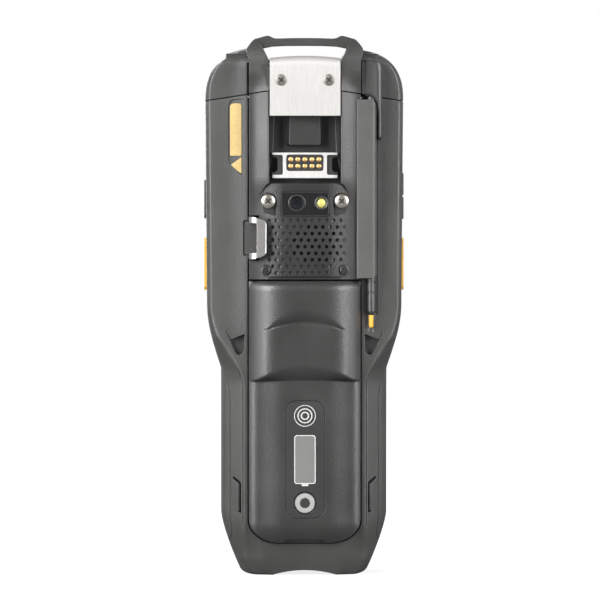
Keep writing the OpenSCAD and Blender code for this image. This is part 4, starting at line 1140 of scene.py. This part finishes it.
def battery_heights():
    """Heights of the battery's rings, closest together round the two folds."""
    z, out = BATTERY_Z, []
    while z < BATTERY_TOP - 0.2:
        out.append(z)
        near = min(abs(z - VALLEY_Z - 2), abs(z - STEP_Z - 3))
        z += 0.35 if near < 5 else 1.0
    return out + [BATTERY_TOP]


def make_battery():
    """The battery's cover, with openings for its label, button and gauge, and a slit at the lower end."""
    floor = WING_Y + 0.6
    turns = [math.pi * k / 64 for k in range(65)]
    rings = []
    for z in battery_heights():
        ring = [(-BATTERY_X, floor, z)]
        for x in [-BATTERY_X * math.cos(a) for a in turns]:
            height = max(0.2, battery_height(x, z))
            ring.append((x, BATTERY_EDGE_Y - height, z - sag(z) * min(1, (x / 16.5) ** 2)))
        rings.append(ring + [(BATTERY_X, floor, z)])
    slit = [(-9.2, BATTERY_Z - 2), (9.2, BATTERY_Z - 2), (8.6, BATTERY_Z + 1.5), (-8.6, BATTERY_Z + 1.5)]
    steps = [
        ("keep", prism("y", battery_plan(), -FAR, FAR)),
        opened((-13, -17.8, BATTERY_Z + 3), (13, FAR, BATTERY_TOP - 3)),
        sunk(pad(0, LABEL_MID, LABEL_W, RINGS_Z - BUTTON_Z + 13.4, 5, 10), BATTERY_LOW_Y + 0.4),
        through(circle(0, BUTTON_Z, 4.8)),
        through(pad(0, GAUGE_MID, GAUGE_W + 0.2, GAUGE_H + 0.2, 0.8)),
        sunk(soften(slit, [0, 0, 0.7, 0.7]), GRIP_Y + 0.1),
    ]
    return carve("battery_cover", loft("battery", rings), *steps)


def battery_print(name, outline, rise, thick, material, hole=None, body="battery"):
    """A thin print on the battery's flat, at a depth behind its surface."""
    y = BATTERY_LOW_Y + rise
    sheet_piece(name, outline, y, y + thick, body, material, [hole] if hole else [])


def make_battery_label():
    """The dark label and its prints: three rings, the gauge's border and nub, and the button's ring."""
    sheet_piece(
        "battery_label", pad(0, LABEL_MID, LABEL_W - 0.5, RINGS_Z - BUTTON_Z + 12.9, 4.8, 10),
        BATTERY_LOW_Y + 0.25, BATTERY_LOW_Y + 0.42, "battery", LABEL,
        [circle(0, BUTTON_Z, 4.9), pad(0, GAUGE_MID, GAUGE_W + 0.3, GAUGE_H + 0.3, 0.8)],
    )
    for name, inner, outer in (("outer", 4.35, 4.7), ("middle", 2.75, 3.25), ("inner", 1.25, 1.8)):
        rings = [circle(0, RINGS_Z, r, 64) for r in (outer, inner)]
        battery_print(f"ring_{name}", rings[0], 0.18, 0.1, PRINT, rings[1])
    border = pad(0, GAUGE_MID, GAUGE_W + 0.3, GAUGE_H + 0.3, 1.2)
    inside = pad(0, GAUGE_MID, GAUGE_W - 0.6, GAUGE_H - 0.6, 0.8)
    battery_print("gauge_border", border, 0.12, 0.14, PRINT, inside)
    battery_print("gauge_nub", pad(0, GAUGE_Z0 - 0.55, 2.9, 1.0, 0.3), 0.12, 0.14, PRINT)
    ring, hole, centre = (circle(0, BUTTON_Z, r, 64) for r in (4.2, 2.2, 2.15))
    battery_print("button_ring", ring, 0.02, 0.1, RING_GREY, hole, "gauge_button")
    battery_print("button_centre", centre, 0.05, 0.1, LABEL, body="gauge_button")


finish_piece(make_battery(), "battery", BATTERY, ["battery_shell"])
make_battery_label()

# ------------------------------------------------------------ screws, lens and flash


def screw_head(name, x, z, y, r, rise, material, slot, replaced, turn, cross):
    """A screw with a domed head of a given rise and a cross recess floored with a near-black sheet of painted
    shade, its face at depth y.
    """
    turns = [math.radians(a) for a in range(8, 89, 10)]
    dome = [(r * math.sin(a), y + rise * (1 - math.cos(a))) for a in turns]
    profile = [(0.06 * r, y)] + dome + [(r, y + rise + 0.5), (1.2, y + rise + 0.5), (1.2, y + 4.5)]
    head = lathe(name, x, z, profile)
    half, reach = 0.15 * r, cross * r
    lower = [(-reach, -half * 0.5), (-half, -half), (half, -half), (reach, -half * 0.5)]
    corners = lower + [(-a, -b) for a, b in lower]
    # Each arm of the cross gets a near-black floor sheet below the head's face: painted shade in the recess
    arms, shade_floors = [], []
    for angle in (turn, turn + 90):
        c, s = math.cos(math.radians(angle)), math.sin(math.radians(angle))
        outline = [(x + c * p - s * q, z + s * p + c * q) for p, q in corners]
        arms.append(("cut", prism("y", outline, y - 1, y + 0.7)))
        shade_floors.append(prism("y", outline, y + 0.45, y + 0.75))
    finish_piece(carve(name, head, *arms), "housing", material, [replaced], angle=40)
    finish_piece(carve(name + "_recess", shade_floors[0], ("add", shade_floors[1])), "housing", RECESS_SHADE)


# Places, then face, radius, rise, material, slot and node, then each cross's turn and the share it reaches
PLATE_KIND = (PLATE_SEAT_Y - 1.75, 2.5, 0.5, DULL_SCREW, "zinc_steel", "plate_screws")
UPPER_KIND = (PANEL_Y - 0.6, 3.1, 1.0, SCREW, "bright_steel", "cover_screws_upper")
LOWER_KIND = (PANEL_Y + 0.05, 1.95, 0.3, BLACK_SCREW, "black_steel", "cover_screws_lower")
for name, places, kind, turns, cross in (
    ("plate_screw", PLATE_SCREWS, PLATE_KIND, (50, 50), 0.6),
    ("upper_screw", UPPER_SCREWS, UPPER_KIND, (42, 47), 0.5),
    ("lower_screw", LOWER_SCREWS, LOWER_KIND, (45, 45), 0.62),
):
    for k, place in enumerate(places):
        screw_head(f"{name}_{k + 1}", *place, *kind, turns[k], cross)


def turned(name, place, profile, material, nodes=(), angle=50):
    """A turned piece behind the cover plate. Its profile's depths count from the plate's face."""
    solid = lathe(name, *place, [(r, PANEL_Y + depth) for r, depth in profile])
    finish_piece(solid, "housing", material, nodes, angle=angle)


LENS_RING_PROFILE = [
    (2.75, 0.85), (2.85, 0.3), (3.05, -0.05), (3.5, -0.12), (3.8, 0.05), (3.9, 0.4), (3.9, 5),
    (2.5, 5), (2.5, 1.3),
]
LENS_PROFILE = [(0.2, 0.5), (1.0, 0.53), (1.8, 0.62), (2.4, 0.76), (2.8, 0.92), (2.8, 1.4), (0.2, 1.4)]
FLASH_RIM_PROFILE = [(2.0, 0.8), (2.15, 0.25), (2.6, 0.02), (2.9, 0.1), (3.05, 0.4), (3.05, 4), (2.0, 4)]
FLASH_PROFILE = [(0.15, 0.05), (0.7, 0.1), (1.2, 0.24), (1.65, 0.46), (2.0, 0.8), (2.0, 1.4), (0.15, 1.4)]
turned("lens_ring", LENS, LENS_RING_PROFILE, LENS_RING, ["camera_module"])
turned("lens_glass", LENS, LENS_PROFILE, LENS_GLASS, angle=60)
turned("flash_rim", FLASH, FLASH_RIM_PROFILE, FLASH_RIM, ["flash_led"])
turned("flash_dome", FLASH, FLASH_PROFILE, FLASH_DOME, angle=60)

# ------------------------------------------------------------ plate, dock connector and speaker cover


def make_plate():
    """The steel plate: flat, then bent forward along its arched upper edge."""
    back, seat = PLATE_SEAT_Y - 1.2, PLATE_SEAT_Y
    bend_z, centre_y = PLATE_TOP - 4.6, PLATE_SEAT_Y + 2.6
    turns = [math.radians(72 * k / 9) for k in range(10)]
    outer = [(centre_y - 3.8 * math.cos(a), bend_z + 4.7 * math.sin(a)) for a in turns]
    inner = [(centre_y - 2.6 * math.cos(a), bend_z + 3.5 * math.sin(a)) for a in turns]
    low_z = SHOULDER_Z - 7.7
    profile = [(back, low_z), (back, low_z + 10)] + outer + inner[::-1] + [(seat, low_z + 10), (seat, low_z)]
    rings = []
    for k in range(25):
        x = PLATE_X * (k / 12 - 1)
        drop = (x / PLATE_X) ** 2
        rings.append([(x, y, z - drop * max(0.0, z - bend_z) / 4.7) for y, z in profile])
    holes = [circle(x, z, 1.4) for x, z in PLATE_SCREWS]
    obj = carve("hook_plate_sheet", loft("plate", rings), through(*holes))
    finish_piece(obj, "housing", STEEL, ["hook_plate"], angle=40)
    bevel(obj, 0.12, 50)


def make_bracket():
    """The dock's metal bracket with its window, and a dark guide at each end."""
    x, web = BRACKET_X, 9.5
    z0, z1, top, low = BRACKET_Z0, BRACKET_Z1, BRACKET_Z1 - 1.0, BRACKET_Z0 + 1.4
    right = [(x, z0), (x, low), (web, low), (web, top), (x, top), (x, z1)]
    outline = flipped(right[:1], -1) + right + flipped(right[:0:-1], -1)
    reach = [0.3, 0.3, 0.3, 0.9, 0.9, 0.3] * 2
    bracket = prism("y", soften(outline, reach, 3), BRACKET_Y, BRACKET_Y + 3.9)
    obj = carve("dock_bracket", bracket, through(pad(0, CONTACT_Z, 16.2, 7.1, 1.2)))
    finish_piece(clean(obj), "housing", BRACKET, ["connector_bracket"], edge=0.15)
    for side, name in ((-1, "left"), (1, "right")):
        guide = prism("y", flipped(rect(9.6, low, 14.4, top), side), BRACKET_Y + 0.9, BRACKET_Y + 4.5)
        hole = through(pad(side * 13.6, (low + top) / 2 + 0.1, 3.6, 6.2, 1.1))
        obj = clean(carve(f"dock_guide_{name}", guide, hole))
        finish_piece(obj, "housing", PILLAR, edge=0.3)


def make_contacts():
    """Ten domed contacts in two rows, each in a dark collar."""
    y = BRACKET_Y + 0.15
    pin = [(0.1, y - 0.1), (0.7, y - 0.02), (1.05, y + 0.2), (1.22, y + 0.5), (1.22, y + 1)]
    collar = [(1.05, y + 0.45), (1.1, y + 0.05), (1.28, y + 0.05), (1.34, y + 0.5)]
    rows = (CONTACT_Z - CONTACT_ROW / 2, CONTACT_Z + CONTACT_ROW / 2)
    places = [(i * CONTACT_PITCH, z) for i in range(-2, 3) for z in rows]
    for name, profile, material in (("contact_pins", pin, GOLD), ("contact_collars", collar, DARK)):
        obj = joined([lathe(name, *place, profile, 24) for place in places])
        obj.name = name
        finish_piece(obj, "housing", material, ["connector_contacts"], angle=60)


def bend_cover(obj):
    """Lets the cover fall away towards its sides."""
    for v in obj.data.vertices:
        v.co.y += COVER_FALL * ease(*COVER_BEND, abs(v.co.x) / MM) * MM
    return obj


def grille_holes():
    """Holes over the speaker, which go through, and the blind ones round them."""
    open_holes, blind_holes = [], []
    for row, (first, count) in enumerate(GRILLE):
        for k in range(count):
            x, z = (first + k) * GRILLE_PITCH, GRILLE_TOP - row * GRILLE_ROW
            off = math.hypot((x - SPEAKER[0]) / SPEAKER_REACH[0], (z - SPEAKER[1]) / SPEAKER_REACH[1])
            (open_holes if off < 1 else blind_holes).append(circle(x, z, GRILLE_R, 24))
    return open_holes, blind_holes


def make_cover():
    """The perforated cover plate, bent with the spine, with its screw seats and the window's opening."""
    open_holes, blind_holes = grille_holes()
    steps = [
        through(*open_holes),
        ("cut", bend_cover(prisms("y", blind_holes, PANEL_Y - 2, PANEL_Y + 0.55))),
        through(pad(*WINDOW, 21.5, 11.1, 1.6)),
        through(*[circle(x, z, 2.45, 40) for x, z in LOWER_SCREWS]),
        through(*[circle(x, z, 1.6, 40) for x, z in UPPER_SCREWS]),
    ]
    for side, (x, z) in zip((-1, 1), UPPER_SCREWS):
        rounds = circle(x, z, 3.75) + circle(x - side * 2.6, z - 4.9, 1.3)
        rounds += circle(x + side * 0.6, z - 2.6, 2.6)
        steps.append(sunk(hull(rounds), PANEL_Y + 1.35))
    base = gridded(prism("y", cover_outline(-0.1), PANEL_Y, PANEL_Y + COVER_T), 1.3, (0,))
    obj = bend_cover(carve("grille_cover", base, *steps))
    finish_piece(obj, "housing", COVER, ["speaker_cover"], edge=0.16)


def make_window():
    """The dark window over lens and flash, in a raised rim."""
    rim, hole = pad(*WINDOW, 21.2, 10.8, 1.5), pad(*WINDOW, 19.9, 9.5, 1.0)
    y0, y1 = PANEL_Y + 0.05, PANEL_Y + 1.6
    sheet_piece("window_rim", rim, y0, y1, "housing", RIM, [hole], edge=0.15)
    base = prism("y", pad(*WINDOW, 19.8, 9.4, 1.0), PANEL_Y + 0.25, PANEL_Y + 1.5)
    obj = carve("camera_glass", base, through(circle(*LENS, 3.95), circle(*FLASH, 3.1)))
    finish_piece(clean(obj), "housing", SMOKED, ["camera_window"], edge=0.12)


make_plate()
make_bracket()
make_contacts()
make_cover()
make_window()

# ------------------------------------------------------------ strap loop, stylus and label


def make_strap_loop():
    """A flat steel bar bent in side view and cut out in back view, and the dark pad behind it."""
    x, x1, y0, h = STRAP_X, STRAP_X + 4.3, BACK_Y + 0.6, STRAP_H / 2
    plan = [
        (x1, y0 + 0.3), (x1, y0 + 1.7), (x + 0.3, y0 + 1.7), (x - 1.6, y0 + 3.6), (x - 1.6, WING_Y + 0.6),
        (x - 3.2, WING_Y + 0.6), (x - 3.2, y0 + 2.8), (x - 1.0, y0 + 0.1),
    ]
    upper = [(x - 4, h + 0.5), (x - 2.2, h + 1.1), (x + 2.6, h - 0.2), (x1, h - 1.6)]
    face = [(a, STRAP_MID + b) for a, b in upper] + [(a, STRAP_MID - b) for a, b in upper[::-1]]
    strip = prism("z", soften(plan, [0.5, 0.5, 1, 1, 0, 0, 1.6, 1.6]), STRAP_Z - 1.2, STRAP_Z + STRAP_H + 1.2)
    outline = prism("y", soften(face, [0.5, 1.2, 1.5, 1.2, 1.2, 1.5, 1.2, 0.5]), -FAR, FAR)
    slot = pad(x - 4.2, STRAP_MID, 8.8, STRAP_H - 3.4, 0.9)
    obj = carve("strap_bar", strip, ("keep", outline), through(slot))
    finish_piece(clean(obj), "housing", ZINC, ["strap_loop"], edge=0.45)
    back = pad(x - 1.7, STRAP_MID, 7.6, STRAP_H - 2.2, 0.8)
    y0, y1 = WING_Y + 0.96, WING_Y + 1.5
    sheet_piece("strap_pocket_pad", back, y0, y1, "housing", POCKET, edge=0.1)


def edge_distance(x, z, outline):
    """Distance from a point to the nearest side of an outline."""
    best = FAR
    p = Vector((x, z))
    for k, end in enumerate(outline):
        a, b = Vector(outline[k - 1]), Vector(end)
        t = max(0.0, min(1.0, (p - a).dot(b - a) / max(1e-9, (b - a).length_squared)))
        best = min(best, (p - a.lerp(b, t)).length)
    return best


def stylus_dome(outline, y0, y1, radius):
    """The stylus's cap: its back comes forward towards the clip, and rolls over at the top and there."""
    x0, x1 = min(x for x, z in outline), max(x for x, z in outline)
    edge = [(x - 4 if x < x0 + 0.6 else x, z) for x, z in outline]
    obj = gridded(prism("y", outline, y0, y1), 0.45)
    for v in obj.data.vertices:
        x, y, z = (c / MM for c in v.co)
        if y < y0 + 0.01:
            d = min(radius, edge_distance(x, z, edge))
            fall = 0.018 * ((x1 - x0) ** 2 - (x - x0) ** 2)
            v.co.y = (y0 + fall + radius - math.sqrt(radius**2 - (radius - d) ** 2)) * MM
        else:
            v.co.y += (wing_y(x) - WING_Y) * MM
    return obj


def make_stylus_cap():
    """The stylus's cap with its long clip."""
    x0, x1, low = STYLUS_X - 2.7, STYLUS_X + 4.8, CAP_Z - 18.6
    outline = [
        (x0, CAP_Z + 0.2), (x0, STYLUS_TOP - 0.1), (x0 + 2.6, STYLUS_TOP), (x1, STYLUS_TOP - 1.4), (x1, low),
        (x1 - 2.3, low), (x1 - 2.3, CAP_Z - 6), (x1 - 3.6, CAP_Z - 1.3),
    ]
    reach = [0.5, 2.2, 1.5, 5.0, 1.1, 1.1, 4.0, 3.2]
    obj = stylus_dome(soften(outline, reach, 8), STYLUS_Y - 3.4, STYLUS_Y + 0.4, 2.6)
    finish_piece(obj, "stylus", PEN, ["stylus_cap"], angle=50)


def make_stylus_tip():
    profile = [(0.15, 0), (0.5, 0.1), (0.8, 0.4), (0.98, 1.0), (1.05, 5.6)]
    rings = [[(a, b, STYLUS_Z + rise) for a, b in circle(STYLUS_X, STYLUS_Y, r, 32)] for r, rise in profile]
    finish_piece(loft("stylus_nib", rings), "stylus", YELLOW, ["stylus_tip"], angle=50)


def make_sleeve():
    """The stylus's holder: a slanted back with round upper and lower corners on its outer side."""
    x0, x1, y0, z1 = STYLUS_X - 6.4, STYLUS_X + 2.4, STYLUS_Y - 4.1, CAP_Z - 1.3
    plan = [
        (x0, y0 + 2.5), (x0, y0 + 0.4), (x1 - 1.1, y0 + 0.1), (x1, y0 + 2.6), (x1, WING_Y + 1.8),
        (x0, WING_Y + 0.5),
    ]
    face = [(x0, SLEEVE_Z0), (x0, z1), (x1, z1), (x1, SLEEVE_Z0)]
    steps = [
        ("keep", prism("y", soften(face, [0.5, 0.8, 4.4, 3.2], 8), -FAR, FAR)),
        opened((-FAR, -17.4, 0), (SPINE_X + 0.15, FAR, FAR)),
        ("cut", stylus_bore(BORE_START)),
    ]
    sleeve = prism("z", soften(plan, [0, 0.7, 1.3, 1.0, 0, 0]), SLEEVE_Z0, CAP_Z - 1.2)
    obj = clean(carve("stylus_holder", sleeve, *steps))
    finish_piece(obj, "housing", SLEEVE, ["stylus_sleeve"], edge=0.35)


def make_label():
    """An amber strip and pointer, both bare."""
    x0, x1 = LABEL_X - 2.5, LABEL_X + 2.5
    z1 = LABEL_Z + LABEL_H / 2 - 1.8
    z0 = z1 - 22.7
    strip = soften(rect(x0, z0, x1, z1), [0.7, 0.7, 1.4, 1.8])
    pointer = soften([(x1, z0 - 0.6), (x1, z0 - 7.9), (x0, z0 - 4.2)], 0.5)
    obj = on_wing(prisms("y", [strip, pointer], WING_Y + 0.2, WING_Y + 0.5))
    finish_piece(obj, "housing", AMBER, ["warning_label"], edge=0.08)


make_strap_loop()
make_stylus_cap()
make_stylus_tip()
make_sleeve()
make_label()

# ------------------------------------------------------------ carried-over nodes

KEY_PLACES = [(row + 1, column + 1) for row in range(KEY_ROWS) for column in range(KEY_COLUMNS)]
NUMBER_KEYS = [f"number_key_{row}_{column}" for row, column in KEY_PLACES]
for material, edge, names in (
    (PEN, 0, ["stylus_barrel"]),
    (RUBBER, 0.35, ["volume_rocker", "side_key_upper", "side_key_lower"]),
    (RUBBER, 0.2, ["gauge_button"]),
    (YELLOW, 0.35, ["scan_key_left", "scan_key_right"]),
    (YELLOW, 0.4, ["enter_key"]),
    (RED, 0.3, ["power_key"]),
    (KEYTOP, 0.5, NUMBER_KEYS),
    (GLASS, 0.2, ["display_glass"]),
    (RED_GLASS, 0.2, ["scan_window"]),
    (GAUGE, 0.1, ["gauge_window"]),
    (DARK, 0.25, ["battery_tray"]),
    (DARK, 0.12, ["connector_block"]),
    (DARK, 0, ["battery_socket", "earpiece", "speaker"]),
    (SEAL, 0, ["housing_gasket", "keypad_mat"]),
    (SCREW, 0.1, ["housing_screws"]),
    (GOLD, 0, ["battery_contacts"]),
    (WRAP, 0, ["battery_cells"]),
    (BOARD, 0, ["main_board", "keypad_board"]),
    (SCREEN, 0, ["display_module"]),
    (TIN, 0, ["scan_engine"]),
):
    for name in names:
        dress(name, material, edge)

# ------------------------------------------------------------ key legends

# Strokes of each legend, in sixths of its height
STROKES = {
    "0": [[(1, 0), (0, 1.2), (0, 4.8), (1, 6), (3, 6), (4, 4.8), (4, 1.2), (3, 0), (1, 0)]],
    "1": [[(0.8, 4.8), (2.2, 6), (2.2, 0)]],
    "2": [[(0, 4.8), (0.8, 6), (3.2, 6), (4, 5), (4, 3.8), (0, 0), (4, 0)]],
    "3": [
        [(0, 5.2), (0.8, 6), (3.2, 6), (3.8, 5.2), (3.8, 4), (3, 3.2), (1.4, 3.2)],
        [(3, 3.2), (4, 2.3), (4, 1), (3.2, 0), (0.8, 0), (0, 0.9)],
    ],
    "4": [[(3, 0), (3, 6), (0, 2), (4.2, 2)]],
    "5": [[
        (3.8, 6), (0.4, 6), (0.2, 3.3), (1.2, 3.8), (3, 3.8), (4, 2.8), (4, 1), (3, 0), (0.9, 0), (0, 0.9),
    ]],
    "6": [[
        (3.6, 5.6), (2.4, 6), (1, 5.2), (0, 3), (0, 1.2), (1, 0), (3, 0), (4, 1.1), (4, 2.5), (3, 3.5),
        (1, 3.5), (0, 2.4),
    ]],
    "7": [[(0, 6), (4, 6), (1.4, 0)]],
    "8": [[
        (1, 3.2), (0.2, 4), (0.2, 5.1), (1.1, 6), (2.9, 6), (3.8, 5.1), (3.8, 4), (3, 3.2), (1, 3.2),
        (0, 2.3), (0, 1), (1, 0), (3, 0), (4, 1), (4, 2.3), (3, 3.2),
    ]],
    "9": [[
        (0.4, 0.4), (1.6, 0), (3, 0.8), (4, 3), (4, 4.8), (3, 6), (1, 6), (0, 4.9), (0, 3.5), (1, 2.5),
        (3, 2.5), (4, 3.6),
    ]],
    "*": [[(2, 1), (2, 5)], [(0.3, 2), (3.7, 4)], [(0.3, 4), (3.7, 2)]],
    "#": [[(1.1, 0.6), (1.6, 5.4)], [(2.6, 0.6), (3.1, 5.4)], [(0.2, 2), (4.2, 2)], [(0.2, 4), (4.2, 4)]],
}
LEGENDS = ["*0#", "789", "456", "123"]


def stroke(x, z, a, b):
    """Outline of one stroke of a legend on the front, seen the right way round from there."""
    unit = LEGEND_H / 6
    ends = [(x - (p - 2) * unit, z + (q - 3) * unit) for p, q in (a, b)]
    return hull([point for end in ends for point in circle(*end, LEGEND_W / 2, 10)])


def make_legend(legend, row, column):
    """A legend on its key. Each stroke is a little higher than the last, so that no two share a face."""
    key = f"number_key_{row}_{column}"
    low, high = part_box(key)
    x, z = (low[0] + high[0]) / 2 / MM, (low[2] + high[2]) / 2 / MM
    face = high[1] / MM
    lines = [stroke(x, z, a, b) for path in STROKES[legend] for a, b in zip(path, path[1:])]
    obj = joined([prism("y", line, face - 0.05, face + 0.02 + 0.004 * k) for k, line in enumerate(lines)])
    obj.name = f"legend_{row}_{column}"
    finish_piece(obj, key, PRINT)


for row, legends in enumerate(LEGENDS, 1):
    for k, legend in enumerate(legends):
        make_legend(legend, row, KEY_COLUMNS - k)

# ------------------------------------------------------------ floor, light and camera

FLOOR_REACH = 3000
WORLD_LIGHT = 0.12
WHITE = (1, 1, 1, 1)
LIGHT_TARGET = Vector((0, 0, 0.12))
CAMERA_TARGET = Vector((-2.0 * MM, -15 * MM, 119.7 * MM))
CAMERA_DISTANCE = 1.5
CAMERA_YAW = math.radians(1.6)
CAMERA_RISE = math.radians(1.5)
FRAME_MM = 260.2


def make_floor():
    """A pale floor that fades to white away from the object and keeps its shadow."""
    mat, tree, shader = new_material("floor")
    space = object_space(tree)
    reach = node(tree, "ShaderNodeVectorMath", {0: space}, operation="LENGTH").outputs["Value"]
    fade = map_range(tree, reach, 0.05, 0.3, 0.82, 1.0)
    seen = node(tree, "ShaderNodeLightPath").outputs["Is Camera Ray"]
    feed(tree, shader, {
        "Base Color": ramp(tree, noise(tree, space, 60, 2, 0.55), (0.3, grey(0.19)), (0.7, grey(0.21))),
        "Roughness": 0.9,
        "Specular IOR Level": 0.0,
        "Emission Color": WHITE,
        "Emission Strength": maths(tree, "MULTIPLY", fade, seen),
    })
    corners = rect(-FLOOR_REACH, -FLOOR_REACH, FLOOR_REACH, FLOOR_REACH)
    floor = temp_object("floor", [(x, y, 0) for x, y in corners], [(0, 1, 2, 3)])
    floor.data.materials.append(mat)


def make_world():
    """White for the camera and behind the object. The side where the studio is dark reflects little."""
    world = bpy.data.worlds.new("studio")
    bpy.context.scene.world = world
    world.use_nodes = True
    tree = world.node_tree
    tree.nodes.clear()
    dim, white = (
        node(tree, "ShaderNodeBackground", {"Color": WHITE, "Strength": strength}).outputs[0]
        for strength in (WORLD_LIGHT, 1.0)
    )
    ray = node(tree, "ShaderNodeLightPath").outputs
    direction = node(tree, "ShaderNodeTexCoord").outputs["Generated"]
    ahead = node(tree, "ShaderNodeSeparateXYZ", {0: direction}).outputs["Y"]
    glossy = maths(tree, "MULTIPLY", map_range(tree, ahead, 0.3, 0.9, 0.0, 1.0), ray["Is Glossy Ray"])
    direct = maths(tree, "MAXIMUM", ray["Is Camera Ray"], ray["Is Transmission Ray"])
    mix = node(tree, "ShaderNodeMixShader", {"Fac": maths(tree, "MAXIMUM", direct, glossy), 1: dim, 2: white})
    node(tree, "ShaderNodeOutputWorld", {"Surface": mix.outputs[0]})


def aim(obj, place, direction):
    """Puts a light or camera at a place, looking in a direction."""
    obj.location = place
    obj.rotation_euler = direction.to_track_quat("-Z", "Y").to_euler()
    bpy.context.scene.collection.objects.link(obj)


def softbox(name, place, size, power):
    lamp = bpy.data.lights.new(name, "AREA")
    lamp.shape = "RECTANGLE"
    lamp.size, lamp.size_y = size
    lamp.energy = power
    aim(bpy.data.objects.new(name, lamp), place, LIGHT_TARGET - Vector(place))


def make_camera():
    """The photograph's view: square on, from slightly left and above."""
    flat = math.cos(CAMERA_RISE)
    offset = Vector((-math.sin(CAMERA_YAW) * flat, -math.cos(CAMERA_YAW) * flat, math.sin(CAMERA_RISE)))
    camera = bpy.data.objects.new("camera", bpy.data.cameras.new("camera"))
    aim(camera, CAMERA_TARGET + offset * CAMERA_DISTANCE, -offset)
    camera.data.sensor_fit = "AUTO"
    camera.data.angle = 2 * math.atan(FRAME_MM * MM / 2 / CAMERA_DISTANCE)
    camera.data.clip_end = 20
    bpy.context.scene.camera = camera
    bpy.context.scene.view_settings.view_transform = "Standard"


make_floor()
make_world()
softbox("key_left", (-1.0, -1.0, 0.66), (0.5, 1.2), 33)
softbox("side_left", (-1.35, -0.4, 0.6), (0.7, 1.2), 10)
softbox("fill_right", (1.05, -0.95, 0.6), (0.45, 1.2), 20)
softbox("rim_right", (1.35, -0.35, 0.5), (0.6, 1.2), 9)
softbox("front", (-0.7, 1.2, 0.8), (0.6, 1.2), 24)
softbox("top", (0, 0.1, 1.4), (1.2, 0.6), 1.2)
make_camera()
